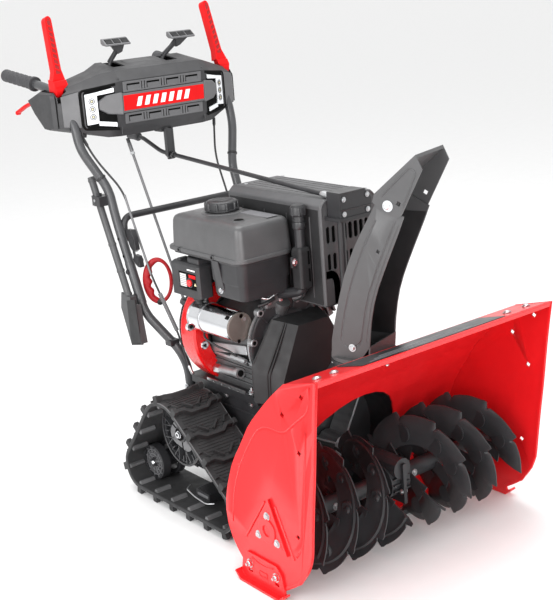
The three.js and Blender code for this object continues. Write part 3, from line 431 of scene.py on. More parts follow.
def cad(name, flat=0.5):
    """A copy of a CAD node in millimetres, with its triangles joined into flat faces."""
    shape = bmesh.new()
    shape.from_mesh(frame["nodes"][name].data)
    bmesh.ops.scale(shape, vec=(1 / MM, 1 / MM, 1 / MM), verts=shape.verts)
    bmesh.ops.remove_doubles(shape, verts=shape.verts, dist=0.01)
    bmesh.ops.dissolve_limit(shape, angle_limit=radians(flat), verts=shape.verts, edges=shape.edges)
    return to_mesh(shape)


BODY_OF = {n: body for body, names in frame["record"]["behaviour"]["bodies"].items() for n in names}


def piece(name, *parts, node_name=None, smooth=38):
    """One object from (mesh, material) parts, standing for the CAD node of its own name or node_name."""
    stands_for = node_name or name
    shape = bmesh.new()
    materials = []
    for mesh, material in parts:
        if material not in materials:
            materials.append(material)
        first = len(shape.faces)
        shape.from_mesh(mesh)
        shape.faces.ensure_lookup_table()
        for face in shape.faces[first:]:
            face.material_index = materials.index(material)
            face.smooth = True
    bmesh.ops.scale(shape, vec=(MM, MM, MM), verts=shape.verts)
    mesh = to_mesh(shape)
    for material in materials:
        mesh.materials.append(material)
    mesh.set_sharp_from_angle(angle=radians(smooth))
    thing = bpy.data.objects.new(name + "_look", mesh)
    scene.collection.objects.link(thing)
    thing.modifiers.new("normals", "WEIGHTED_NORMAL").keep_sharp = True
    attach(thing, BODY_OF[stands_for])
    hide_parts(stands_for)
    return thing


def coated(material, meshes):
    """The meshes as parts of one material."""
    return [(mesh, material) for mesh in meshes]


def both(name, *parts):
    """A left piece from its parts, and the right one as its mirror image."""
    piece(name + "_left", *parts)
    piece(name + "_right", *[(mirrored(mesh), material) for mesh, material in parts])


# ------------------------------------------------------------------ intake housing
SHEET = 3.3
PLATE_FACE = corners("side_plate_left")[0].x + SHEET
AUGER = pivot("auger_spin")
LIP = Vector((0, corners("side_plate_left")[0].y, corners("side_plate_left")[1].z))
FRONT_EDGE = [
    (-736, 556), (-722, 455), (-709, 345), (-697, 262), (-689, 200), (-682, 140), (-668, 105), (-635, 60),
    (-580, 26)
]


def square_hole(x0, x1, y, z, half):
    """A tool for a slightly turned square hole through a wall from x0 to x1."""
    return box((x0, y - half, z - half), (x1, y + half, z + half), Matrix.Rotation(0.5, 3, "X"))


def pressed_line(points, side, face, depth=1.5, radius=3.0, bend=16):
    """A round tool that presses a line into an outer face; points are (y, z)."""
    return pipe(radius, [(side * (face + radius - depth), y, z) for y, z in points], bend, sides=12)


def groove(points):
    return pressed_line(points, 1, PLATE_FACE, 1.7, 3.4, 22)


def side_plate():
    plate = cad("side_plate_left")
    above_boss = box((PLATE_FACE + 7.05, -620, 100), (PLATE_FACE + 30, -440, 260))
    square_holes = [
        square_hole(PLATE_FACE - 20, PLATE_FACE + 9, y, z, 5)
        for y, z in ((-683, 515), (-613, 458), (-662, 383), (-636, 177))
    ]
    upper_line = groove(
        [
            (-712, 545), (-702, 486), (-655, 450), (-612, 413), (-545, 413), (-510, 392), (-475, 345),
            (-435, 285), (-410, 230), (-396, 180), (-390, 132)
        ]
    )
    front_line = groove([(-690, 437), (-676, 330), (-661, 220), (-653, 160), (-626, 124)])
    plate = carved(plate, above_boss, *square_holes)
    plate = carved(plate, upper_line)
    plate = carved(plate, front_line)
    inset = [Vector((0, y + 4.5, z + 1)) for y, z in FRONT_EDGE]
    hem = swept(
        [(-5.0, -4.3), (1.2, -4.3), (1.9, -3.2), (1.9, 3.2), (1.2, 4.3), (-5.0, 4.3)],
        [p + Vector((PLATE_FACE, 0, 0)) for p in rounded(inset, 30)]
    )
    ribs = [
        pipe(2.6, [(PLATE_FACE + 0.6, y0, z0), (PLATE_FACE + 0.6, y1, z1)], sides=12)
        for (y0, z0), (y1, z1) in (((-560, 226), (-616, 112)), ((-524, 226), (-440, 112)))
    ]
    bearing = soft(
        ring(30, 13.8, (PLATE_FACE + 6, AUGER.y, AUGER.z), (PLATE_FACE + 10, AUGER.y, AUGER.z)), 1.2
    )
    bolts = [
        bolt((PLATE_FACE + 7.2, y, z), (1, 0, 0), 6.8, 6.2)
        for y, z in ((-537, 197), (-568, 140), (-500, 140))
    ]
    return [(soft(plate, 1.1), RED), (hem, RED), *coated(RED, ribs), (bearing, RED), *coated(ZINC, bolts)]


def housing_shell():
    low, high = corners("housing_shell")
    shell = soft(cad("housing_shell"), 0.9)
    lip = pipe(4.0, [(low.x + 2, LIP.y + 5.2, LIP.z - 4.6), (high.x - 2, LIP.y + 5.2, LIP.z - 4.6)], sides=16)
    slope = (531 - 560) / (738 - 625)

    def panel(y):
        return LIP.z + (y - LIP.y) * slope

    def on_panel(x0, x1, y0, y1, thick):
        return prism(
            "x",
            [
                (y0, panel(y0) + 0.2), (y1, panel(y1) + 0.2), (y1, panel(y1) + thick),
                (y0, panel(y0) + thick)
            ],
            x0, x1
        )

    label = on_panel(-232, 215, -727, -640, 1.5)
    stripes = [
        prism(
            "x",
            [
                (y, panel(y) + 1.2), (y + 7, panel(y + 7) + 1.2), (y + 7, panel(y + 7) + 1.9),
                (y, panel(y) + 1.9)
            ],
            -200 + 26 * i, 120 - 34 * i
        )
        for i, y in enumerate((-716, -702, -688))
    ]
    heads = [bolt((x, -690, panel(-690) + 1), (0, 0.25, 1), 7, 4.5) for x in (-330, -282, 262, 330)]
    throat = ring(DRUM_RADIUS + 5, DRUM_RADIUS - 1, (0, -372, DRUM_Z), (0, -364, DRUM_Z), 64)
    return [
        (shell, RED), (lip, RED), (label, SMOOTH_PLASTIC), *coated(LABEL, stripes), *coated(ZINC, heads),
        (throat, BLACK_COAT)
    ]


def skid_shoe():
    shoe = soft(cad("skid_shoe_left"), 1.6, 3)
    x = corners("skid_shoe_left")[0].x + 5.2
    bolts = [bolt((x, y, 48), (1, 0, 0), 7.6, 6.5) for y in (-551, -452)]
    studs = [bar(3.6, (x + 5, y, 48), (x + 12, y, 48), 16) for y in (-551, -452)]
    bead = pipe(
        1.8, [(x - 0.2, -540, 66), (x - 0.2, -520, 60), (x - 0.2, -484, 60), (x - 0.2, -462, 67)], 14,
        sides=10
    )
    oval = pipe(
        1.6,
        [
            (x - 0.2, -516, 42), (x - 0.2, -486, 42), (x - 0.2, -486, 30), (x - 0.2, -516, 30),
            (x - 0.2, -516, 41)
        ],
        5, sides=10
    )
    return [(shoe, RED), *coated(ZINC, bolts + studs), (bead, RED), (oval, RED)]


# ------------------------------------------------------------------ augers and impeller
DRUM_Z = pivot("impeller_spin").z
DRUM_RADIUS = 160
FLIGHT_START = 0.4
FLIGHT_TURNS = 1.5
FLIGHT_ENDS = (48, 322)
FLIGHT_TIP = 145.5


def on_flight(start, share, radius, aside=0.0):
    """A point on a ribbon flight: share runs from 0 to 1 along it."""
    angle = start + 2 * pi * FLIGHT_TURNS * share
    x = FLIGHT_ENDS[0] + (FLIGHT_ENDS[1] - FLIGHT_ENDS[0]) * share + aside
    return Vector((x, AUGER.y + radius * cos(angle), AUGER.z + radius * sin(angle)))


def flight(start):
    """A ribbon with a bent outer band and a sawtooth rim."""
    steps = 180
    per_tooth = 15
    rings = []
    for i in range(steps + 1):
        phase = i % per_tooth
        if phase < 2:
            tip = FLIGHT_TIP
        elif phase == 2:
            tip = FLIGHT_TIP - 17
        else:
            tip = FLIGHT_TIP - 11 + 0.7 * (phase - 3)
        share = i / steps
        section = [
            (tip, 5.0), (tip, 8.0), (124, 3.4), (119, 6.0), (113, 3.2), (100, 1.6), (72, 3.0), (63, 7.0),
            (60, 6.0), (61, 2.6), (72, -1.0), (100, -2.4), (124, -1.0)
        ]
        rings.append([on_flight(start, share, r, aside) for r, aside in section])
    return loft(rings)


def flight_arm(start, share):
    """A flat web from the tube out to the ribbon."""
    rings = []
    for radius, half in ((18, 15), (34, 17), (52, 21), (74, 27)):
        middle = on_flight(start, share, radius)
        around = on_flight(start, share + 0.001, radius) - on_flight(start, share - 0.001, radius)
        around.x = 0
        around.normalize()
        rings.append(
            [
                middle + around * half * s + Vector((t, 0, 0))
                for s, t in ((-1, -2), (1, -2), (1, 2), (-1, 2))
            ]
        )
    return soft(loft(rings), 1.2)


def flight_dish(start, share, radius=92):
    centre = on_flight(start, share, radius)
    profile = [(0, 22), (0.3, 22), (0.62, 19), (0.5, 12), (0.7, 9), (1, 5), (1, 0.2)]
    return turned([(0, 0.2)] + profile, centre - Vector((5, 0, 0)), centre + Vector((5.5, 0, 0)), 28)


def auger():
    tube = ring(21, 13.7, (42, AUGER.y, AUGER.z), (345, AUGER.y, AUGER.z), 32)
    starts = (FLIGHT_START, FLIGHT_START + pi)
    parts = [(soft(tube, 1), BLACK_COAT)]
    for start in starts:
        parts.append((flight(start), AUGER_COAT))
        for share in (0.02, 0.34, 0.66, 0.98):
            parts.append((flight_arm(start, share), AUGER_COAT))
        for share in (0.10, 0.20, 0.27, 0.42, 0.52, 0.60, 0.74, 0.84, 0.92):
            parts.append((flight_dish(start, share), AUGER_COAT))
    for x in (66, 190):
        parts.append((bolt((x, AUGER.y - 20.5, AUGER.z), (0, -1, 0), 6, 5), ZINC))
        parts.append((bolt((x, AUGER.y + 20.5, AUGER.z), (0, 1, 0), 6, 5), ZINC))
    return parts


def auger_shaft():
    low, high = corners("auger_shaft")
    return soft(bar(12.4, (low.x, AUGER.y, AUGER.z), (high.x, AUGER.y, AUGER.z), 40), 1.2)


def auger_gearbox():
    body = soft(cad("auger_gearbox"), 3.0, 3)
    flange = [
        bolt((side * 5.5, AUGER.y + 52 * cos(a), AUGER.z + 52 * sin(a)), (side, 0, 0), 5, 4.5)
        for side in (-1, 1) for a in (0.9, 2.2, 3.5, 4.8)
    ]
    ribs = [
        box_between((side * 3.5, AUGER.y - 48, AUGER.z + dz), (side * 26, AUGER.y - 40, AUGER.z + dz + 3))
        for side in (-1, 1) for dz in (-16, 0, 16)
    ]
    return [(body, BLACK_COAT), *coated(ZINC, flange), *coated(BLACK_COAT, ribs)]


def impeller():
    wheel = soft(cad("impeller"), 1.0)
    tips = [bar(11, (0, y, DRUM_Z), (0, y + 4, DRUM_Z), 24) for y in (-366, -306)]
    return [(wheel, STEEL), *coated(ZINC, tips)]


def impeller_housing():
    drum = soft(cad("impeller_housing"), 1.0)
    top = pivot("chute_rotation")
    studs = [
        bolt(top + Vector((76 * cos(a), 76 * sin(a), -8.5)), (0, 0, -1), 4.5, 4)
        for a in [radians(30 + 60 * i) for i in range(6)]
    ]
    hoop = ring(DRUM_RADIUS + 5.5, DRUM_RADIUS + 2, (0, -306, DRUM_Z), (0, -298, DRUM_Z), 64)
    return [(drum, BLACK_COAT), (hoop, BLACK_COAT), *coated(ZINC, studs)]


both("side_plate", *side_plate())
piece("housing_shell", *housing_shell())
both("skid_shoe", *skid_shoe())
piece(
    "scraper_bar", (soft(cad("scraper_bar"), 0.8), BLACK_COAT),
    *[(bolt((x, -458, 19.5), (0, -0.4, 1), 7, 3), ZINC) for x in (-300, -100, 100, 300)]
)
both("auger", *auger())
piece("auger_shaft", (auger_shaft(), STEEL))
piece("auger_gearbox", *auger_gearbox())
piece("impeller", *impeller())
piece("impeller_housing", *impeller_housing())


# ------------------------------------------------------------------ chute, in its own turned frame
TURN = pivot("chute_rotation")
CHUTE_HALF = 64
tilt_axis = next(j for j in frame["joints"] if j["name"] == "deflector_tilt")["axis"]
CHUTE_FRAME = Matrix.Translation((0, TURN.y, 0)) @ Matrix.Rotation(
    atan2(tilt_axis[1], tilt_axis[0]), 4, "Z"
)
HOOD_PIVOT = CHUTE_FRAME.inverted() @ pivot("deflector_tilt")
CHUTE_BACK = [(53, 474), (52, 505), (43, 547), (28, 604), (2, 686), (-31, 757), (-67, 818), (-92, 860)]
CHUTE_FRONT = [
    (-30, 480), (-50, 500), (-56, 543), (-65, 596), (-78, 641), (-97, 688), (-121, 742), (-147, 799),
    (-158, 826)
]


def edge_y(edge, z):
    for (y0, z0), (y1, z1) in zip(edge, edge[1:]):
        if z <= z1:
            return y0 + (y1 - y0) * (z - z0) / (z1 - z0)
    return edge[-1][0]


def across_chute(share, z):
    """The y at a share of the way from the chute's back edge to its front edge."""
    return edge_y(CHUTE_BACK, z) * (1 - share) + edge_y(CHUTE_FRONT, z) * share


def placed(mesh):
    mesh = mesh.copy()
    mesh.transform(CHUTE_FRAME)
    return mesh


def local(name):
    mesh = cad(name)
    mesh.transform(CHUTE_FRAME.inverted())
    return mesh


def chute():
    body = local("chute")
    heights = [815, 760, 700, 640, 590, 545]
    back_side = [(across_chute(0.24, z), z) for z in heights]
    front_side = [(across_chute(0.80, z), z) for z in reversed(heights)]
    loop = back_side + [
        (across_chute(0.26, 512), 512), (across_chute(0.5, 500), 500), (across_chute(0.78, 514), 514)
    ]
    loop += front_side
    rim = [(across_chute(0.93, z), z) for z in (808, 740, 680, 620, 560, 520)]
    for side in (-1, 1):
        body = carved(body, pressed_line(loop, side, CHUTE_HALF))
        body = carved(body, pressed_line(rim, side, CHUTE_HALF, 0.9, 2.2))
        body = carved(body, square_hole(side * CHUTE_HALF - 9, side * CHUTE_HALF + 9, -88, 742, 4))
    body = soft(body, 1.3, 3)
    spine = [
        Vector((0, edge_y(CHUTE_BACK, z) - 0.6, z)) for z in (480, 520, 560, 610, 660, 710, 760, 810, 850)
    ]
    corner_wraps = [
        pipe(4.2, [p + Vector((side * (CHUTE_HALF - 4.0), -3.4, 0)) for p in rounded(spine, 20)], sides=12)
        for side in (-1, 1)
    ]
    ribs = [
        pipe(1.6, [(x, edge_y(CHUTE_BACK, z) - 4.6, z) for z in (500, 540, 580, 620, 652)], 12, sides=8)
        for x in (-30, 0, 30)
    ]
    base_bolts = [bolt((side * (CHUTE_HALF + 0.2), -6, 503), (side, 0, 0), 6.5, 5) for side in (-1, 1)]
    ring_top = TURN.z + 10
    ring_bolts = [
        bolt((72 * cos(a), 72 * sin(a), ring_top + 0.4), (0, 0, 1), 4.6, 4)
        for a in [radians(40 + 50 * i) for i in range(3)]
    ]
    # Thin dark sheets just inside the back and side walls: painted shade inside the chute.
    inner_back = loft(
        [
            [
                Vector((x, edge_y(CHUTE_BACK, z) - y, z))
                for x, y in ((-59, 3.5), (59, 3.5), (59, 4.1), (-59, 4.1))
            ]
            for z in (478, 510, 547, 604, 645, 686, 720, 757, 790, 818, 850)
        ]
    )
    inner_sides = [
        loft(
            [
                [
                    Vector((side * x, across_chute(share, z), z))
                    for x, share in (
                        (CHUTE_HALF - 3.4, 0.06), (CHUTE_HALF - 3.4, 0.98), (CHUTE_HALF - 4.0, 0.98),
                        (CHUTE_HALF - 4.0, 0.06)
                    )
                ]
                for z in (505, 547, 604, 645, 686, 720, 757, 790, 812)
            ]
        )
        for side in (-1, 1)
    ]
    parts = [
        (body, CHUTE_COAT), (inner_back, CHUTE_PAINTED_SHADE), *coated(CHUTE_PAINTED_SHADE, inner_sides),
        *coated(CHUTE_COAT, corner_wraps + ribs), *coated(ZINC, base_bolts + ring_bolts)
    ]
    return [(placed(mesh), material) for mesh, material in parts]


def deflector():
    hood = local("deflector")
    outer = CHUTE_HALF + 3.7
    side_rooms = [
        box_between((side * (outer + 0.02), -150, 825), (side * (outer + 20), -90, 875))
        for side in (-1, 1)
    ]
    hood = carved(hood, *side_rooms)
    hood = soft(carved(hood, square_hole(-90, 90, -148, 856, 5)), 1.4, 3)
    bolts = []
    for side in (-1, 1):
        a = Vector((side * (outer + 0.2), HOOD_PIVOT.y, HOOD_PIVOT.z))
        bolts.append(bar(13, a, a + Vector((side * 2.2, 0, 0)), 32))
        bolts.append(bolt(a + Vector((side * 2.4, 0, 0)), (side, 0, 0), 7.8, 5.8, 1.2))
    bead_line = ((-108, 872), (-180, 938), (-196, 928), (-160, 850))
    bead = [pipe(1.7, [(side * (outer + 0.1), y, z) for y, z in bead_line], 14, sides=10) for side in (-1, 1)]
    parts = [(hood, CHUTE_COAT), *coated(CHROME, bolts), *coated(CHUTE_COAT, bead)]
    return [(placed(mesh), material) for mesh, material in parts]


piece("chute", *chute())
piece("deflector", *deflector())


# ------------------------------------------------------------------ tracks
WHEELS = [
    (pivot("drive_spin_left"), 92), (pivot("front_wheel_spin_left"), 51),
    (pivot("rear_wheel_spin_left"), 51)
]
SPROCKET, SPROCKET_RADIUS = WHEELS[0]
IDLER_RADIUS = WHEELS[1][1]
BELT = 10
BELT_IN, BELT_OUT = 151, 301
BELT_MIDDLE = (BELT_IN + BELT_OUT) / 2
LUGS = 16
WHEEL_FACE = 246


def belt_line(distance, steps=360):
    """(point, outward normal, distance run) round the wheels, from the foremost point along the ground."""
    line = []
    run = 0.0
    for i in range(steps + 1):
        angle = pi + 2 * pi * i / steps
        normal = Vector((0, cos(angle), sin(angle)))
        centre, radius = max(WHEELS, key=lambda wheel: wheel[0].dot(normal) + wheel[1])
        point = Vector((0, centre.y, centre.z)) + normal * (radius + distance)
        run += (point - line[-1][0]).length if line else 0
        line.append((point, normal, run))
    return line


BELT_LINE = belt_line(BELT)
BELT_LENGTH = BELT_LINE[-1][2]
PITCH = BELT_LENGTH / LUGS


def on_belt(x, s, out):
    """The place at s along the belt and out from its inner face."""
    s %= BELT_LENGTH
    after = next(i for i, station in enumerate(BELT_LINE) if station[2] >= s and i > 0)
    (a, normal_a, run_a), (b, normal_b, run_b) = BELT_LINE[after - 1], BELT_LINE[after]
    t = (s - run_a) / (run_b - run_a)
    place = a.lerp(b, t) + normal_a.lerp(normal_b, t).normalized() * (out - BELT)
    return Vector((x, place.y, place.z))


def wrapped(mesh, s):
    """Bends a mesh made flat as (x, along, out) round the belt, with its origin at s."""
    for vertex in mesh.vertices:
        vertex.co = on_belt(vertex.co.x, s + vertex.co.y, vertex.co.z)
    shape = bmesh.new()
    shape.from_mesh(mesh)
    bmesh.ops.recalc_face_normals(shape, faces=shape.faces)
    return to_mesh(shape)


def cleat(points, half, low, high):
    """A tapered bar on the flat belt, along a line of (x, along) points."""
    rings = []
    line = [Vector((x, y, 0)) for x, y in points]
    for i, point in enumerate(line):
        along = (line[min(i + 1, len(line) - 1)] - line[max(i - 1, 0)]).normalized()
        side = Vector((-along.y, along.x, 0))
        rings.append(
            [
                point + side * half * s + Vector((0, 0, z))
                for s, z in (
                    (-1.3, low), (1.3, low), (0.85, high - 1), (0.6, high), (-0.6, high), (-0.85, high - 1)
                )
            ]
        )
    return loft(rings)


def end_block(x0, x1, half, low, high):
    taper = 1.2
    return loft(
        [
            [(x0, -half, low), (x1, -half, low), (x1, half, low), (x0, half, low)],
            [(x0, -half, high - 3), (x1, -half, high - 3), (x1, half, high - 3), (x0, half, high - 3)],
            [
                (x0 + taper, taper - half, high), (x1 - taper, taper - half, high),
                (x1 - taper, half - taper, high), (x0 + taper, half - taper, high)
            ],
        ]
    )


def tread(i):
    """One lug: square end blocks, a stepped bar across and two short slanted cleats."""
    reach = BELT_OUT - BELT_MIDDLE
    bar_line = [
        (BELT_MIDDLE + x, s)
        for x, s in ((4 - reach, 0), (-44, 0), (-26, 13), (26, 13), (44, 0), (reach - 4, 0))
    ]
    parts = [
        end_block(BELT_IN, BELT_IN + 13, 8.5, BELT - 1, BELT + 16.8),
        end_block(BELT_OUT - 13, BELT_OUT, 8.5, BELT - 1, BELT + 16.8),
        cleat(bar_line, 5.5, BELT - 1, BELT + 14),
    ]
    for side in (-1, 1):
        slant = [(BELT_MIDDLE + side * x, s) for x, s in ((8, -4), (30, -24))]
        notch = [(BELT_MIDDLE + side * x, s) for x, s in ((46, -12), (58, -30), (70, -30))]
        parts.append(cleat(slant, 3.2, BELT - 1, BELT + 8))
        parts.append(cleat(notch, 2.4, BELT - 1, BELT + 6))
    return wrapped(joined(*parts), i * PITCH)


def track_belt():
    section = [
        (BELT_IN, 2), (BELT_IN + 2, 0), (BELT_OUT - 2, 0), (BELT_OUT, 2), (BELT_OUT, BELT - 1.5),
        (BELT_OUT - 1.5, BELT), (BELT_IN + 1.5, BELT), (BELT_IN, BELT - 1.5)
    ]
    steps = 220
    band = loft(
        [[on_belt(x, BELT_LENGTH * i / steps, out) for x, out in section] for i in range(steps)],
        closed=True
    )
    fine = []
    inner = []
    for i in range(LUGS):
        for k in range(1, 9):
            flat = box((BELT_IN + 16, -1.5, BELT - 0.5), (BELT_OUT - 16, 1.5, BELT + 1.4))
            fine.append(wrapped(flat, (i + k / 9) * PITCH))
        rib = cleat(
            [(WHEEL_FACE + 4, 0), (WHEEL_FACE + 14, 0), (BELT_OUT - 14, 0), (BELT_OUT - 6, 0)], 6, -0.8, 8.5
        )
        for vertex in rib.vertices:
            vertex.co.z = -vertex.co.z
        inner.append(wrapped(rib, i * PITCH))
    edge = [
        pipe(1.5, [on_belt(x, BELT_LENGTH * i / steps, BELT - 1) for i in range(steps + 1)], sides=8)
        for x in (BELT_IN + 1.7, BELT_OUT - 1.7)
    ]
    lugs = joined(*[tread(i) for i in range(LUGS)])
    # The edge pipes and inner ribs take the lighter rubber: painted highlight along the edges and on the ribs.
    return [
        (band, RUBBER), (lugs, RUBBER), (joined(*fine), RUBBER), (joined(*inner), BELT_PAINTED_HIGHLIGHT),
        (joined(*edge), BELT_PAINTED_HIGHLIGHT)
    ]


def around(centre, x, radius, angle):
    return Vector((x, centre.y + radius * cos(angle), centre.z + radius * sin(angle)))


def spoke(centre, inner, outer, angle, width, low_x, high_x, lean=0.0):
    """A thin flat rib from one radius to another, standing up from low_x to high_x."""
    a = around(centre, 0, inner, angle)
    b = around(centre, 0, outer, angle + lean)
    side = Vector((0, -(b - a).z, (b - a).y)).normalized() * width / 2
    rings = [
        [Vector((x, 0, 0)) + p + side * s for p, s in ((a, -1), (a, 1), (b, 1), (b, -1))]
        for x in (low_x, high_x)
    ]
    return soft(loft(rings), 0.5, 1)


def sprocket():
    c = SPROCKET
    rim = SPROCKET_RADIUS - 2
    tyre = ring(rim, rim - 6, (172, c.y, c.z), (WHEEL_FACE, c.y, c.z), 72)
    step = ring(rim - 5, rim - 12, (180, c.y, c.z), (WHEEL_FACE - 5, c.y, c.z), 72)
    # Near-black disc behind the spokes: painted shade in the wheel's hollow.
    web = bar(rim - 8, (214, c.y, c.z), (220, c.y, c.z), 64)
    spokes = []
    for i in range(9):
        middle = 2 * pi * (i + 0.3) / 9
        for lean in (-0.17, 0.17):
            spokes.append(spoke(c, 44, rim - 7, middle - lean * 0.2, 2.6, 220, WHEEL_FACE - 1, lean))
        spokes.append(spoke(c, rim - 26, rim - 7, middle + pi / 9, 2.6, 220, WHEEL_FACE - 3))
    lobes = []
    for k in range(72):
        angle = 2 * pi * k / 72
        radius = 47 + 6.5 * cos(3 * angle + 0.9)
        lobes.append((c.y + radius * cos(angle), c.z + radius * sin(angle)))
    plate = soft(prism("x", lobes, WHEEL_FACE - 7, WHEEL_FACE - 2), 1.2)
    # Near-black slots in the hub plate: painted shade.
    slots = [spoke(c, 20, 46, 2 * pi * i / 3 + 0.45, 6, WHEEL_FACE - 3, WHEEL_FACE - 1.6) for i in range(3)]
    dishes = [
        ring(9, 7.4, around(c, WHEEL_FACE - 2.6, 33, a), around(c, WHEEL_FACE - 1.2, 33, a), 28)
        for a in [2 * pi * i / 3 + 1.5 for i in range(3)]
    ]
    hub = turned(
        [(0, 24), (0.5, 22), (0.6, 17), (1, 16)], (WHEEL_FACE - 3, c.y, c.z), (WHEEL_FACE + 5, c.y, c.z), 40
    )
    axle = bar(13, (96, c.y, c.z), (WHEEL_FACE + 4, c.y, c.z), 32)
    nut = turned(
        [(0, 10), (0.25, 10), (0.26, 8.5), (0.9, 8.5), (1, 7)], (WHEEL_FACE + 4.5, c.y, c.z),
        (257.6, c.y, c.z), 32
    )
    # Near-black well round the nut and dot in its end: painted shade.
    well = ring(17, 11, (WHEEL_FACE + 4.2, c.y, c.z), (WHEEL_FACE + 5.6, c.y, c.z), 40)
    eye = bar(4, (257.3, c.y, c.z), (257.9, c.y, c.z), 20)
    return [
        (soft(joined(tyre, step), 0.8), SMOOTH_PLASTIC), (web, PAINTED_SHADE_AND_SEAMS), *coated(TUBE_COAT, spokes),
        (plate, HUB_GREY), (well, PAINTED_SHADE_AND_SEAMS), *coated(PAINTED_SHADE_AND_SEAMS, slots), *coated(HUB_GREY, dishes),
        (hub, SMOOTH_PLASTIC), (axle, STEEL), (nut, CHROME), (eye, PAINTED_SHADE_AND_SEAMS)
    ]


def idler(c):
    rim = IDLER_RADIUS - 1.5
    tyre = joined(
        ring(rim, rim - 5, (222, c.y, c.z), (WHEEL_FACE, c.y, c.z), 56),
        ring(rim, rim - 12, (172, c.y, c.z), (192, c.y, c.z), 56)
    )
    # Near-black disc behind the spokes: painted shade in the wheel's hollow.
    web = bar(rim - 4, (222, c.y, c.z), (226, c.y, c.z), 48)
    hoops = [ring(r, r - 2.4, (224, c.y, c.z), (WHEEL_FACE - 1, c.y, c.z), 56) for r in (rim - 12, rim - 24)]
    spokes = [spoke(c, 14, rim - 3, 2 * pi * (i + 0.4) / 12, 2.0, 224, WHEEL_FACE - 1.5) for i in range(12)]
    hub = turned([(0, 20), (0.35, 19), (0.8, 13), (1, 11)], (226, c.y, c.z), (WHEEL_FACE + 1.6, c.y, c.z), 36)
    core = ring(24, 9.2, (172, c.y, c.z), (224, c.y, c.z), 32)
    return [
        (soft(tyre, 0.8), SMOOTH_PLASTIC), (web, PAINTED_SHADE_AND_SEAMS), *coated(HUB_GREY, hoops), *coated(HUB_GREY, spokes),
        (hub, SMOOTH_PLASTIC), (core, SMOOTH_PLASTIC)
    ]


def track_frame():
    body = soft(cad("track_frame_left"), 1.0)
    nuts = [
        turned([(0, 8.5), (0.3, 8.5), (0.7, 7.5), (1, 3.5)], (248.2, c.y, c.z), (255, c.y, c.z), 24)
        for c in (WHEELS[1][0], WHEELS[2][0])
    ]
    slats = [box((166, y, 61.5), (240, y + 3, 63.6)) for y in range(-101, -46, 6)]
    bright = soft(box((240, -98, 47), (247.5, -50, 56)), 2.4, 3)
    lip = soft(box((238, -106, 38), (250, -42, 42)), 1.2)
    wire = pipe(
        2.0, [(247, -20, 66), (262, -22, 60), (263, -60, 50), (263, -112, 45), (248, -128, 46)], 12,
        sides=10
    )
    stay = soft(box((160, -30, 60), (166, 6, 82)), 1)
    clamp = bolt((163.4, -80, 90), (1, 0, 0), 7, 6)
    gussets = [soft(prism("x", [(y, 64), (y + 46, 64), (y + 23, 84)], 163, 166), 0.8) for y in (-34, 62)]
    return [
        (body, BLACK_COAT), *coated(CHROME, nuts), *coated(SMOOTH_PLASTIC, slats), (bright, HUB_GREY),
        (lip, SMOOTH_PLASTIC), (wire, ZINC), (stay, BLACK_COAT), (clamp, ZINC), *coated(BLACK_COAT, gussets)
    ]


both("track_belt", *track_belt())
both("sprocket", *sprocket())
both("front_idler", *idler(WHEELS[1][0]))
both("rear_idler", *idler(WHEELS[2][0]))
both("track_frame", *track_frame())


# ------------------------------------------------------------------ chassis
DECK_TOP = corners("chassis")[1].z


def chassis():
    high = corners("chassis")[1]
    body = soft(cad("chassis"), 1.4)
    parts = [(body, BLACK_COAT)]
    for side in (-1, 1):
        face = side * (high.x + 0.2)
        outline = [(-151, DECK_TOP), (20, DECK_TOP), (20, DECK_TOP + 8), (-151, DECK_TOP + 8)]
        rail = prism("x", outline, *sorted((face - side * 6, face - side * 2)))
        holes = [
            bar(3, (face - side * 10, y, DECK_TOP + 4.2), (face + side * 4, y, DECK_TOP + 4.2), 16)
            for y in (-120, -84, -48, -12)
        ]
        parts.append((soft(carved(rail, *holes), 0.6, 1), ZINC))
        foot = box_between((face - side * 22, -186, DECK_TOP), (face - side * 1, -150, DECK_TOP + 5))
        parts.append((soft(foot, 1), BLACK_COAT))
        x = face - side * 12
        parts.append((bolt((x, -168, DECK_TOP + 5.5), (0, 0, 1), 7.5, 8), ZINC))
        parts.append((bar(4, (x, -168, DECK_TOP + 12), (x, -168, DECK_TOP + 21), 16), ZINC))
        for y in (-262, -150, -40, 70):
            parts.append((bolt((side * 119.3, y, 290), (side, 0, 0), 6.5, 5), ZINC))
        seam_line = ((-270, 262), (40, 262), (98, 230), (98, 130))
        seam = pipe(2.2, [(side * 119.6, y, z) for y, z in seam_line], 24, sides=10)
        parts.append((seam, BLACK_COAT))
        bearing = ring(34, 18, (side * 119, SPROCKET.y, SPROCKET.z), (side * 130, SPROCKET.y, SPROCKET.z), 40)
        parts.append((soft(bearing, 2), BLACK_COAT))
        for a in (0.8, 2.37, 3.94, 5.5):
            parts.append((bolt(around(SPROCKET, side * 128, 27, a), (side, 0, 0), 4.5, 3.5, 1.1), ZINC))
    back = high.y
    plate = soft(box((-92, back - 0.5, 128), (92, back, 300)), 0.2)
    parts.append((plate, BLACK_COAT))
    parts += [(bolt((x, back - 1.2, z), (0, 1, 0), 6, 4), ZINC) for x in (-84, 84) for z in (136, 292)]
    return parts


piece("chassis", *chassis())


# ------------------------------------------------------------------ engine
CRANK_X, CRANK_Z = -20, 452


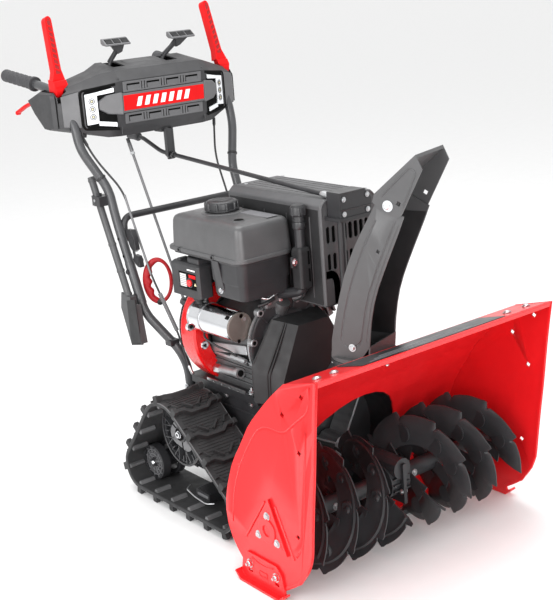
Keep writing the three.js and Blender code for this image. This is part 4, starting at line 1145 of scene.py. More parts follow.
def rounded_ring(low, high, radius, z, inset=0.0, steps=5):
    """A level rounded rectangle between two (x, y) corners."""
    (x0, y0), (x1, y1) = low, high
    x0, y0, x1, y1 = x0 + inset, y0 + inset, x1 - inset, y1 - inset
    r = max(2.0, radius - inset * 0.5)
    points = []
    for (cx, cy), first in (
        ((x1 - r, y1 - r), 0), ((x0 + r, y1 - r), 1), ((x0 + r, y0 + r), 2), ((x1 - r, y0 + r), 3)
    ):
        for k in range(steps + 1):
            angle = pi / 2 * (first + k / steps)
            points.append(Vector((cx + r * cos(angle), cy + r * sin(angle), z)))
    return points


def pillow(low, high, radius, levels):
    """A rounded box; levels is a list of (z, inset)."""
    return loft([rounded_ring(low, high, radius, z, inset) for z, inset in levels])


def boss(place, direction, radius, length, hole=0.5):
    """A cast lug with a near-black disc in its end as painted shade for its hole."""
    a, d = Vector(place), Vector(direction).normalized()
    body = turned([(0, radius * 1.1), (0.9, radius), (1, radius * 0.88)], a, a + d * length, 24)
    return [(body, CAST), (bar(radius * hole, a + d * (length - 0.4), a + d * (length + 0.3), 20), PAINTED_SHADE_AND_SEAMS)]


def engine_block():
    body = soft(cad("engine_block"), 2.0, 3)
    disc = turned(
        [(0, 113), (0.4, 116), (0.75, 116), (1, 110)], (CRANK_X, -186, CRANK_Z), (CRANK_X, -199, CRANK_Z),
        72
    )
    step = turned([(0, 84), (0.6, 84), (1, 78)], (CRANK_X, -198, CRANK_Z), (CRANK_X, -207, CRANK_Z), 56)
    hoop = ring(119, 112, (CRANK_X, -188, CRANK_Z), (CRANK_X, -182, CRANK_Z), 72)
    screen = soft(box((-168, 10, 566), (-60, 18, 645)), 2)
    parts = [
        (body, DARK_CAST), (disc, ENGINE_BLACK), (step, ENGINE_BLACK), (hoop, CAST), (screen, ENGINE_BLACK)
    ]
    for k in range(12):
        a = 2 * pi * (k + 0.5) / 12
        foot = Vector((CRANK_X + 84 * cos(a), -199, CRANK_Z + 84 * sin(a)))
        tip = Vector((CRANK_X + 110 * cos(a), -199, CRANK_Z + 110 * sin(a)))
        parts.append((pipe(3, [foot, tip], sides=8), ENGINE_BLACK))
    for x, z in ((-101, 542), (-61, 556), (18, 553), (81, 503), (-128, 470), (-118, 392)):
        parts += boss((x, -184, z), (0, -1, 0), 10, 16, 0.55)
    bright = [(20, 427), (-146, 449), (-150, 424), (17, 402)]
    parts.append((soft(prism("x", bright, -119, -112), 2.5, 3), CAST))
    parts.append((soft(box((-116, -186, 396), (-104, 16, 404)), 2), CAST))
    for z in (340, 354, 368, 382):
        parts.append((soft(box((-115, -184, z), (-108, 14, z + 4)), 1.2), DARK_CAST))
    parts.append((turned([(0, 7.5), (0.85, 7.5), (1, 6)], (-122, -88, 410), (-122, -146, 408), 24), CAST))
    drain = [(-120, -31, 360), (-125, -123, 371)]
    parts.append((turned([(0, 11), (0.8, 11), (0.82, 14), (1, 14)], *drain, 28), CAST))
    # Near-black disc in the drain plug: painted shade in its opening.
    parts.append((turned([(0, 9), (1, 9)], (-124.9, -121, 370.8), (-125.1, -123.6, 371.1), 24), PAINTED_SHADE_AND_SEAMS))
    parts.append((turned([(0, 13), (0.5, 13), (1, 11)], (-116, 0, 356), (-118, -30, 359), 6), ZINC))
    fuel_line = [(-92, -196, 580), (-78, -204, 574), (-52, -210, 588), (-30, -214, 592)]
    parts.append((pipe(3.2, fuel_line, 12, sides=10), ZINC))
    parts.append((pipe(5, [(-100, -190, 560), (-86, -206, 566), (-60, -206, 574)], 14, sides=12), CABLE))
    carburettor = pillow((-86, -204), (-30, -178), 8, [(548, 3), (551, 0), (578, 0), (582, 3)])
    parts.append((carburettor, DARK_CAST))
    parts += [(bolt((x, -205, 565), (0, -1, 0), 4.5, 4), ZINC) for x in (-76, -40)]
    wire = [(-146, -8, 474), (-160, -20, 458), (-150, -50, 440), (-128, -90, 424), (-118, -150, 398)]
    parts.append((pipe(3, wire, 16, sides=10), CABLE))
    return parts


def starter_motor():
    x, z, radius, front, back = -150, 513, 40, -176, 7
    skin = [
        (back, 36), (back - 3, radius), (-39, radius), (-41, radius + 0.8), (-44, radius + 0.8),
        (-46, radius), (-120, radius), (front + 9, radius), (front + 6, radius - 1.2)
    ]
    can = turned([((back - y) / (back - front), r) for y, r in skin], (x, back, z), (x, front, z), 72)
    cap = turned([(0, 37), (0.25, 38.4), (0.75, 38.4), (1, 35.5)], (x, front + 9, z), (x, front, z), 72)
    parts = [(can, CHROME), (cap, END_CAP)]
    # Near-black discs in the end cap's holes: painted shade.
    for hx, hz in ((-145, 542), (-158, 478)):
        parts.append((ring(6.2, 4.6, (hx, front + 0.4, hz), (hx, front, hz), 24), DARK_CAST))
        parts.append((bar(4.4, (hx, front + 0.6, hz), (hx, front, hz), 20), PAINTED_SHADE_AND_SEAMS))
    plug = turned([(0, 8.5), (0.6, 8.5), (1, 6.5)], (-136, front + 2, 532), (-136, front - 1.2, 532), 28)
    parts.append((plug, END_CAP))
    parts.append((bar(4.5, (-136, front, 532), (-136, front - 1.6, 532), 20), CAST))
    # Near-black port: painted shade in the opening.
    tangent = Matrix.Rotation(radians(-45), 3, "Y")
    port = box((-180, -167, 533.5), (-170, -155, 545.5), tangent)
    parts.append((soft(port, 1), PAINTED_SHADE_AND_SEAMS))
    for y in (-46, 4):
        parts.append((ring(radius + 1.4, radius - 1, (x, y - 1.4, z), (x, y + 1.4, z), 72), ZINC))
    terminal = turned([(0, 11), (0.4, 11), (0.45, 8), (1, 8)], (x + 4, -20, z + 36), (x + 8, -20, z + 50), 24)
    parts.append((terminal, SMOOTH_PLASTIC))
    # Near-black discs in the lugs: painted shade in their holes.
    for lx, ly, lz in ((-184, 4, 488), (-146, 2, 428)):
        parts.append((turned([(0, 12), (0.8, 12), (1, 10)], (lx, ly + 4, lz), (lx, ly - 4, lz), 28), CHROME))
        parts.append((bar(4.6, (lx, ly, lz), (lx, ly - 4.4, lz), 20), PAINTED_SHADE_AND_SEAMS))
    return parts


TANK_LOW, TANK_HIGH = (-185, -243), (-12, 57)
TANK_SEAM, TANK_TOP = 700, 786
CAP = pivot("fuel_cap_turn")


def fuel_tank():
    levels = [(TANK_SEAM, 0), (750, 2.5), (768, 4), (775, 6), (780, 9.5), (783, 15), (784.5, 24), (786, 46)]
    upper = pillow(TANK_LOW, TANK_HIGH, 21, levels)
    flange_low, flange_high = (-188.5, -246.5), (-10.5, 78)
    flange = pillow(flange_low, flange_high, 30, [(690, 2), (692, 0), (699, 0), (701, 1.5), (702, 4)])
    skirt = pillow((-185, -243), (-14, 66), 28, [(684, 3), (692, 0.5)])
    lower = pillow(
        (-178, -238), (-16, -96), 22, [(588, 16), (591, 9), (600, 6), (628, 5), (634, 1.5), (684, 0)]
    )
    seam = [
        (-100, -100, 616), (-176, -150, 620), (-175, -234, 630), (-150, -240.5, 632), (-62, -240.5, 644),
        (-46, -240.5, 668), (-34, -240.5, 692)
    ]
    lower = carved(lower, pipe(2.6, seam, 10, sides=10))
    shelf = pillow((-140, -130), (-20, 40), 14, [(640, 8), (646, 4), (692, 0)])
    recess = turned(
        [(0, 57), (0.5, 55), (1, 50)], (CAP.x, CAP.y, TANK_TOP - 1), (CAP.x, CAP.y, TANK_TOP + 2), 56
    )
    lip = ring(31, 27, (CAP.x, CAP.y, TANK_TOP), (CAP.x, CAP.y, TANK_TOP + 4.6), 48)
    gauge = turned(
        [(0, 17), (0.5, 16.4), (1, 14.5)], (-134, -185, TANK_TOP - 3), (-134, -185, TANK_TOP + 1.6), 40
    )
    glass = bar(12.5, (-134, -185, TANK_TOP + 1.2), (-134, -185, TANK_TOP + 2), 36)
    label = soft(box((-74, -222, TANK_TOP - 0.4), (-40, -110, TANK_TOP + 0.5)), 0.4, 1)
    parts = [
        (upper, TANK), (flange, TANK), (skirt, PLASTIC), (lower, TANK_DARK), (shelf, PLASTIC),
        (recess, TANK), (lip, TANK), (gauge, TANK), (glass, PAINTED_SHADE_AND_SEAMS), (label, LABEL)
    ]
    for y in (-134, 13):
        head = turned([(0, 7), (0.6, 7), (1, 5.4)], (-187, y, 696), (-190.5, y, 696), 28)
        parts.append((head, SMOOTH_PLASTIC))
        # Near-black dot in the screw head: painted shade in its socket.
        parts.append((bar(3.4, (-190, y, 696), (-190.9, y, 696), 6), PAINTED_SHADE_AND_SEAMS))
    strap = [(-181, -152, 688), (-181, -124, 688), (-167, -126, 598), (-167, -154, 598)]
    outer = [Vector(p) + Vector((-4.5, 0, 0)) for p in strap]
    parts.append((soft(loft([strap, outer]), 1.4), SMOOTH_PLASTIC))
    parts.append((bolt((-172, -140, 609), (-1, 0, 0.15), 7, 6, 1.3), CHROME))
    parts += [(soft(box((x, -60, 640), (x + 4, 30, 690)), 1), TANK) for x in (-120, -84, -48)]
    return parts


def fuel_cap():
    base = TANK_TOP + 5.4
    x, y = CAP.x, CAP.y
    skin = [(0, 44.6), (0.10, 44.6), (0.16, 41), (0.72, 41), (0.84, 39.5), (0.93, 36), (0.97, 30), (1, 20)]
    cap = turned(skin, (x, y, base), (x, y, base + 25), 72)
    neck = bar(20.8, (x, y, base - 17), (x, y, base + 1), 40)
    ribs = []
    for k in range(10):
        a = 2 * pi * k / 10
        rib_x, rib_y = x + 40.5 * cos(a), y + 40.5 * sin(a)
        profile = [(0, 4.5), (0.8, 4.5), (1, 2.4)]
        ribs.append(turned(profile, (rib_x, rib_y, base + 3), (rib_x, rib_y, base + 21), 16))
    crown = ring(25, 22, (x, y, base + 24), (x, y, base + 25.2), 56)
    grip = soft(box((x - 22, y - 3, base + 24), (x + 22, y + 3, base + 25.3)), 0.8)
    return [
        (cap, SMOOTH_PLASTIC), (neck, SMOOTH_PLASTIC), (joined(*ribs), SMOOTH_PLASTIC),
        (crown, SMOOTH_PLASTIC), (grip, SMOOTH_PLASTIC)
    ]


BUTTON = Vector((-187, -22, 612))


def switch_box():
    face = corners("switch_box")[0].x
    body = soft(cad("switch_box"), 2.2, 3)
    recess = box((face - 2, -50, 593), (face + 1.6, 30, 638))
    body = carved(body, recess)
    # Near-black plate at the back of the recess: painted shade.
    back_plate = box((face + 1.5, -49, 594), (face + 2.2, 29, 637))
    data = box((face + 0.9, -3, 598), (face + 1.7, 25, 632))
    patch = box((face + 0.9, -46, 624), (face + 1.7, -16, 633))
    white = box((face - 0.2, -48, 644), (face + 0.3, -12, 647.5))
    mark = prism("x", [(-47, 606), (-38, 606), (-42.5, 614)], face + 0.9, face + 1.7)
    collar = ring(13, 10.2, (face + 2, BUTTON.y, BUTTON.z), (face - 1.6, BUTTON.y, BUTTON.z), 36)
    stripes = [box((face + 0.7, -2, z), (face + 1.0, 24, z + 1.4)) for z in range(601, 630, 5)]
    boot = turned([(0, 13), (0.4, 13), (0.5, 10), (1, 9)], (-166, -20, 573), (-162, -18, 552), 28)
    lug = soft(box((-178, 30, 655), (-150, 44, 668)), 2)
    hood = soft(box((-178, -52, 650), (-128, -2, 676)), 4, 3)
    return [
        (body, PLASTIC), (back_plate, PAINTED_SHADE_AND_SEAMS), (data, LABEL_PALE), (patch, RED_PLASTIC), (white, LABEL_WHITE),
        (mark, LED), (collar, SMOOTH_PLASTIC), *coated(LABEL, stripes), (boot, RUBBER), (lug, PLASTIC),
        (hood, PLASTIC), *[(bolt((-170, y, 573), (0, 0, -1), 4, 3), ZINC) for y in (-50, 52)]
    ]


def stop_button():
    low, high = corners("stop_button")
    tip, tail = (low.x, BUTTON.y, BUTTON.z), (high.x, BUTTON.y, BUTTON.z)
    return turned([(0, 6), (0.05, 8.2), (0.14, 9.3), (0.4, 9.3), (0.45, 7), (1, 7)], tip, tail, 40)


COVER_LOW, COVER_HIGH = Vector((-4, -342, 560)), Vector((184, 35, 828))


def slot_tool(x, z0, z1, half=4.2):
    """A round-ended upright slot through the cover's front wall."""
    outline = [(x + half * cos(a), z1 + half * sin(a)) for a in [pi * k / 8 for k in range(9)]]
    outline += [(x + half * cos(a), z0 + half * sin(a)) for a in [pi * (1 + k / 8) for k in range(9)]]
    return prism("y", outline, COVER_LOW.y - 8, COVER_LOW.y + 8)


def muffler_cover():
    (x0, y0, z0), (x1, y1, z1) = COVER_LOW, COVER_HIGH
    outline = [(x0, z0), (x1, z0), (x1, z1 - 22), (x1 - 20, z1), (x0 + 16, z1), (x0, z1 - 14)]
    shell = loft([[(x, y, z) for x, z in outline] for y in (y0, y1)])
    room = box((x0 + 4, y0 + 4, z0 - 5), (x1 - 4, y1 - 4, z1 - 30))
    shell = soft(carved(shell, room), 4.5, 3)
    slots = [slot_tool(17 + 18 * i, z + 8, z + 38, 6.2) for z in (648, 716) for i in range(9)]
    shell = carved(shell, *slots)
    top_grooves = [box((x, y0 + 26, z1 - 1.6), (x + 3, y1 - 26, z1 + 1)) for x in (44, 62, 80, 118, 136, 154)]
    split = box((98, y0 - 1, z1 - 3), (101, y1 + 1, z1 + 1))
    shell = carved(shell, *top_grooves, split)
    raised = [
        soft(box((x + 5, y0 + 30, z1 - 1.5), (x + 13, y1 - 30, z1 - 0.2)), 0.6, 1)
        for x in (44, 62, 118, 136)
    ]
    # Near-black sheet just inside the front wall: painted shade behind the slots.
    dark = box((x0 + 8, y0 + 10, z0 + 6), (x1 - 8, y0 + 12, z1 - 32))
    mouth = ring(52, 44, (132, y0 - 1.6, 640), (132, y0 + 3, 640), 56)
    # Near-black disc in the mouth: painted shade in the opening.
    hole = bar(44.5, (132, y0 - 0.8, 640), (132, y0 + 2, 640), 48)
    spokes = [
        bar(3.4, (132, y0 - 1.2, 640), (132 + 44 * cos(a), y0 - 1.2, 640 + 44 * sin(a)), 12)
        for a in (0.3, 2.4, 4.5)
    ]
    hub = turned([(0, 14), (0.6, 13), (1, 9)], (132, y0, 640), (132, y0 - 1.9, 640), 32)
    side_ribs = [
        pipe(2.4, [(x0 - 0.4, y, z0 + 20), (x0 - 0.4, y, z1 - 44)], sides=10)
        for y in (-300, -210, -120, -30)
    ]
    # Darker panel over the left side: painted shadow cast by the tank and engine.
    painted_shadow_panel = soft(box((x0 - 0.8, y0 + 8, z0 + 4), (x0 + 0.8, y1 - 8, z1 - 24)), 0.6, 1)
    side_band = soft(box((x0 - 0.6, y0 + 20, 742), (x0 + 2, y1 - 20, 752)), 0.8)
    # Near-black strips on the right side: painted shade standing in for slots.
    side_slots = [
        soft(box((x1 - 2, y, z), (x1 + 0.3, y + 8, z + 44)), 0.2, 1) for z in (650, 720)
        for y in range(-300, 0, 26)
    ]
    screws = [bolt((x, y, z1 - 0.6), (0, 0, 1), 5, 0.6, 1.2) for x in (40, 164) for y in (-318, 12)]
    rim = pipe(
        3,
        [
            (x0 + 4, y0 + 1.4, z0 + 4), (x0 + 4, y0 + 1.4, z1 - 16), (x0 + 18, y0 + 1.4, z1 - 3),
            (x1 - 22, y0 + 1.4, z1 - 3), (x1 - 3, y0 + 1.4, z1 - 24), (x1 - 3, y0 + 1.4, z0 + 4)
        ],
        8, sides=10
    )
    duct = swept(
        [(-10, -4), (10, -4), (10, 5), (-10, 5)],
        rounded([(2, -337, 640), (26, -337, 640), (36, -337, 622), (36, -337, 562)], 16, 8)
    )
    return [
        (shell, COVER_GREY), (dark, PAINTED_SHADE_AND_SEAMS), *coated(COVER_GREY, raised), (mouth, PLASTIC), (hole, PAINTED_SHADE_AND_SEAMS),
        (joined(*spokes), PLASTIC), (hub, PLASTIC), *coated(PLASTIC, side_ribs), (side_band, PLASTIC),
        (painted_shadow_panel, COVER_DARK), *coated(PAINTED_SHADE_AND_SEAMS, side_slots), *coated(ZINC, screws), (rim, COVER_GREY),
        (soft(duct, 3, 3), SMOOTH_PLASTIC)
    ]


OIL = pivot("dipstick_turn")


def oil_filler_tube():
    x, y = OIL.x, OIL.y
    route = [(-36, -200, 578), (x, y - 4, 600), (x, y, 690), (x, y, 775.5)]
    tube = pipe(12.6, route, 22, sides=32, arc=8)
    collar = turned([(0, 14), (0.2, 16), (0.8, 16), (1, 15)], (x, y, 757), (x, y, 775), 36)
    holder = pillow((x - 19, y - 20), (x + 19, y + 18), 8, [(606, 4), (610, 0), (702, 0), (708, 2), (712, 6)])
    windows = [box((x + 5, y - 24, z), (x + 13, y - 16, z + 34)) for z in (624, 668)]
    holder = soft(carved(holder, *windows), 0.8, 1)
    # Near-black strips behind the windows: painted shade.
    backing = [box((x + 5, y - 17.5, z), (x + 13, y - 15.5, z + 34)) for z in (624, 668)]
    ear = soft(box((x - 34, y - 6, 664), (x - 16, y + 2, 692)), 2)
    shank = pipe(9, [(x, y - 2, 606), (x + 2, y + 14, 584), (x + 4, y + 40, 572)], 14, sides=20)
    return [
        (tube, SMOOTH_PLASTIC), (collar, SMOOTH_PLASTIC), (holder, COVER_DARK), *coated(PAINTED_SHADE_AND_SEAMS, backing),
        (ear, SMOOTH_PLASTIC), (bolt((x - 26, y - 6.4, 679), (0, -1, 0), 6.5, 5), CHROME), (shank, ZINC)
    ]


def dipstick_cap():
    low, high = corners("dipstick_cap")
    x, y = OIL.x, OIL.y
    cap = turned(
        [(0, 15), (0.3, 15), (0.42, 19.5), (0.80, 19.5), (0.88, 17), (0.98, 15), (1, 12)], (x, y, low.z),
        (x, y, high.z), 48
    )
    lobes = [
        turned(
            [(0, 4.4), (0.85, 4.4), (1, 2.5)], (x + 16.4 * cos(a), y + 16.4 * sin(a), low.z + 16),
            (x + 16.4 * cos(a), y + 16.4 * sin(a), high.z - 5), 14
        )
        for a in [pi / 3 * k for k in range(6)]
    ]
    bar_grip = soft(box((x - 15, y - 4, high.z - 6), (x + 15, y + 4, high.z - 0.2)), 2)
    return [(cap, SMOOTH_PLASTIC), (joined(*lobes), SMOOTH_PLASTIC), (bar_grip, SMOOTH_PLASTIC)]


def fan_shroud():
    x, z = CRANK_X, CRANK_Z
    bowl = turned([(0, 150), (0.08, 154), (0.78, 154), (0.9, 152), (1, 147)], (x, 2.4, z), (x, 78, z), 96)
    rooms = [bar(148, (x, 6, z), (x, 58, z), 80), bar(141, (x, 50, z), (x, 100, z), 80)]
    trims = [
        box((x - 200, 0, 604), (x + 200, 100, 700)), box((-230, 0, 250), (190, 130, DECK_TOP + 1.4)),
        box((-8, 0, 555), (x + 200, 100, 700))
    ]
    for tool in rooms + [bar(112, (x, -10, z), (x, 30, z), 64)] + trims:
        bowl = carved(bowl, tool)
    blades = []
    for k in range(24):
        a = 2 * pi * k / 24
        turn = Matrix.Rotation(a, 3, "Y")
        fin = box((84, 38, -1.2), (98, 56, 1.2))
        fin.transform(turn.to_4x4())
        fin.transform(Matrix.Translation((x, 0, z)))
        blades.append(fin)
    wheel = ring(99, 84, (x, 34, z), (x, 38, z), 64)
    return [(soft(bowl, 2.2, 3), RED_GLOSS), (joined(*blades), DARK_CAST), (wheel, DARK_CAST)]


def recoil_cover():
    x, z, radius = CRANK_X, CRANK_Z, 139
    body = soft(cad("recoil_cover"), 2.2, 3)
    # Rows of near-black dots round the rim: painted shade standing in for holes.
    dots = []
    for row in range(4):
        y = 70 + 7.5 * row
        for k in range(96):
            a = 2 * pi * (k + 0.5 * (row % 2)) / 96
            if z + radius * sin(a) < DECK_TOP + 8:
                continue
            out = Vector((cos(a), 0, sin(a)))
            centre = Vector((x, y, z))
            dots.append(bar(2.5, centre + out * (radius - 1.6), centre + out * (radius + 0.15), 8))
    hub = turned([(0, 34), (0.7, 34), (1, 30)], (x, 112, z), (x, 117.9, z), 48)
    guide = turned([(0, 13), (0.5, 13), (1, 9)], (x - 104, 92, z + 70), (x - 122, 100, z + 82), 28)
    screws = [
        bolt((x + 112 * cos(a), 107, z + 112 * sin(a)), (0, 1, 0), 5, 5) for a in (0.7, 2.4, 3.5, 5.9)
    ]
    return [
        (body, BLACK_COAT), (joined(*dots), PAINTED_SHADE_AND_SEAMS), (hub, SMOOTH_PLASTIC), (guide, SMOOTH_PLASTIC),
        *coated(ZINC, screws)
    ]


def belt_cover():
    body = soft(cad("belt_cover"), 5.5, 4)
    front = [(-50, -284, 514), (-108, -284, 382), (-113, -284, 324)]
    rear = [(-76, -210, 522), (-150, -210, 415), (-150, -210, 324)]

    def line(share, out=0.6):
        return [Vector(a).lerp(Vector(b), share) + Vector((-out, -out, 0)) for a, b in zip(front, rear)]

    ridges = [pipe(2.2, line(share), 14, sides=10) for share in (0.44, 0.52)]
    mirrored_ridges = [mirrored(ridge) for ridge in ridges]
    heads = [bolt((x, -285, 340), (0, -1, 0), 6, 4) for x in (-70, 70)]
    rim = pipe(3.5, [Vector(p) + Vector((3, 1, 0)) for p in rear], 14, sides=10)
    return [
        (body, COVER_DARK), *coated(COVER_DARK, ridges + mirrored_ridges), *coated(ZINC, heads),
        (rim, COVER_DARK), (mirrored(rim), COVER_DARK)
    ]


piece("engine_block", *engine_block())
piece("starter_motor", *starter_motor())
piece("fuel_tank", *fuel_tank())
piece("fuel_cap", *fuel_cap())
piece("switch_box", *switch_box())
piece("stop_button", (stop_button(), RED_GLOSS))
piece("muffler_cover", *muffler_cover())
piece("oil_filler_tube", *oil_filler_tube())
piece("dipstick_cap", *dipstick_cap())
piece("fan_shroud", *fan_shroud())
piece("recoil_cover", *recoil_cover())
piece("belt_cover", *belt_cover())


# ------------------------------------------------------------------ handlebar
# The left tube's corner points, from the chassis up to the grip.
BAR = [
    (133, 108, 240), (134, 112, 340), (150, 122, 392), (206, 188, 497), (210, 277, 740), (209, 304, 828),
    (256, 350, 940), (257, 366, 1010), (256, 436, 1084), (258, 500, 1102), (259, 732.1, 1128)
]
TUBE = 12.5
GRIP_LINE = (Vector(BAR[-2]), Vector(BAR[-1]))


def on_bar(first, share):
    return Vector(BAR[first]).lerp(Vector(BAR[first + 1]), share)


def on_grip(y):
    a, b = GRIP_LINE
    return a.lerp(b, (y - a.y) / (b.y - a.y))


def handlebar():
    tube = pipe(TUBE - 0.1, BAR, 30, sides=28, arc=8)
    parts = [(tube, TUBE_COAT)]
    joint = turned([(0, 13.0), (0.02, 13.6), (0.98, 13.6), (1, 13.0)], on_bar(3, 0.10), on_bar(3, 0.56), 32)
    parts.append((joint, TUBE_COAT))
    for share in (0.63, 0.82):
        centre = on_bar(3, share)
        for side in (-1, 1):
            # Near-black discs on both sides of the tube: painted shade in its holes.
            dark_ends = [centre + Vector((side * (TUBE + out), 0, 0)) for out in (-1.5, 0.25)]
            parts.append((bar(4.2, *dark_ends, 24), PAINTED_SHADE_AND_SEAMS))
    for share in (0.2, 0.46):
        centre = on_bar(3, share)
        parts.append((bolt(centre + Vector((13.4, 0, 0)), (1, 0, 0), 6, 4.5, 1.25), BLACK_COAT))
    foot = on_bar(0, 0.2)
    parts.append((soft(box((119.8, foot.y - 20, 232), (124, foot.y + 20, 300)), 1.2), BLACK_COAT))
    for z in (248, 284):
        parts.append((bolt((TUBE + 133, foot.y, z), (1, 0, 0), 7, 6), ZINC))
    clip_at = on_bar(2, 0.2)
    clip_half = Vector((15, 15, 9))
    parts.append((soft(box(clip_at - clip_half, clip_at + clip_half), 3), SMOOTH_PLASTIC))
    tie = on_bar(5, 0.25)
    band = turned([(0, 13.2), (0.2, 14.4), (0.8, 14.4), (1, 13.2)], tie, tie + Vector((2.5, 2.4, 6)), 28)
    parts.append((band, CABLE))
    return parts


def grip():
    start, end = on_grip(560), on_grip(736)
    length = (end - start).length
    profile = [(0, 19.5), (0.008, 20.8), (0.055, 20.8), (0.075, 17.2)]
    profile += [(0.9, 17.2), (0.915, 17.5), (0.93, 18.2), (0.985, 18.2), (1, 16.6)]
    sleeve = turned(profile, start, end, 48)
    direction = (end - start).normalized()
    side, other = across(direction)
    pads = []
    for row in range(10):
        for k in range(8):
            a = 2 * pi * (k + 0.5 * (row % 2)) / 8
            out = side * cos(a) + other * sin(a)
            aside = direction.cross(out)
            centre = start + direction * length * (0.13 + 0.075 * row) + out * 17.0
            oval = [
                centre + aside * 4.6 * cos(t) + direction * 5.4 * sin(t)
                for t in [2 * pi * n / 14 for n in range(14)]
            ]
            rim = [p + out * 1.0 + (centre - p) * 0.22 for p in oval]
            pads.append(loft([oval, rim]))
    return [(sleeve, GRIP), (joined(*pads), GRIP)]


def cross_bar():
    x = 194
    route = [(-x, 268, 690), (-x, 270, 752), (x, 270, 752), (x, 268, 690)]
    tube = pipe(9.4, route, 40, sides=24, arc=9)
    feet = [soft(box((side * x - 10, 262, 684), (side * x + 10, 274, 716)), 3) for side in (-1, 1)]
    bolts = [bolt((side * (x - 10), 268, 700), (-side, 0, 0), 7, 6) for side in (-1, 1)]
    return [(tube, BLACK_COAT), *coated(BLACK_COAT, feet), *coated(ZINC, bolts)]


both("handlebar", *handlebar())
both("grip", *grip())
piece("cross_bar", *cross_bar())


# ------------------------------------------------------------------ console
PANEL_HALF = 136
CRANK_EYE = Vector((15, 326, 888))  # where the crank runs through the console's bracket


def face_y(x, z):
    """The console's front surface."""
    if abs(x) <= PANEL_HALF:
        return 313 - 6 * (z - 990) / 120
    return 310 + 68 * (abs(x) - PANEL_HALF) / 150 - (2.2 if abs(x) > 150 else 0)


def decal(outline, under, out):
    """A flat shape on the console's front, from `under` to `out` in front of it; outline is (x, z)."""
    return loft([[(x, face_y(x, z) - d, z) for x, z in outline] for d in (under, out)])


def rectangle(x0, x1, z0, z1):
    return [(x0, z0), (x1, z0), (x1, z1), (x0, z1)]


def pocket_row(z0, z1):
    """A raised strip with four pockets, and a short upright bar between each two."""
    strip = decal(rectangle(-128, 128, z0, z1), -1, 3.4)
    pockets = []
    lids = []
    bars = []
    for i in range(4):
        middle = -96 + 64 * i
        pockets.append(decal(rectangle(middle - 21, middle + 21, z0 + 5, z1 - 6), -2, 8))
        lids.append(soft(decal(rectangle(middle - 18, middle + 21, z0 + 2, z1 - 11), 0, 3.0), 0.8, 1))
        if i < 3:
            pockets.append(decal(rectangle(middle + 26, middle + 38, z0 + 4, z1 - 4), -2, 8))
            bars.append(soft(decal(rectangle(middle + 29, middle + 35, z0 + 3, z1 - 3), 0, 3.6), 0.6, 1))
    # Near-black sheet under the strip: painted shade at the bottom of the pockets.
    backs = [decal(rectangle(-120, 120, z0 + 3, z1 - 3), 0.2, 0.9)]
    return [
        (soft(carved(strip, *pockets), 0.9), CONSOLE_GREY), *coated(CONSOLE_GREY, lids + bars),
        *coated(PAINTED_SHADE_AND_SEAMS, backs)
    ]


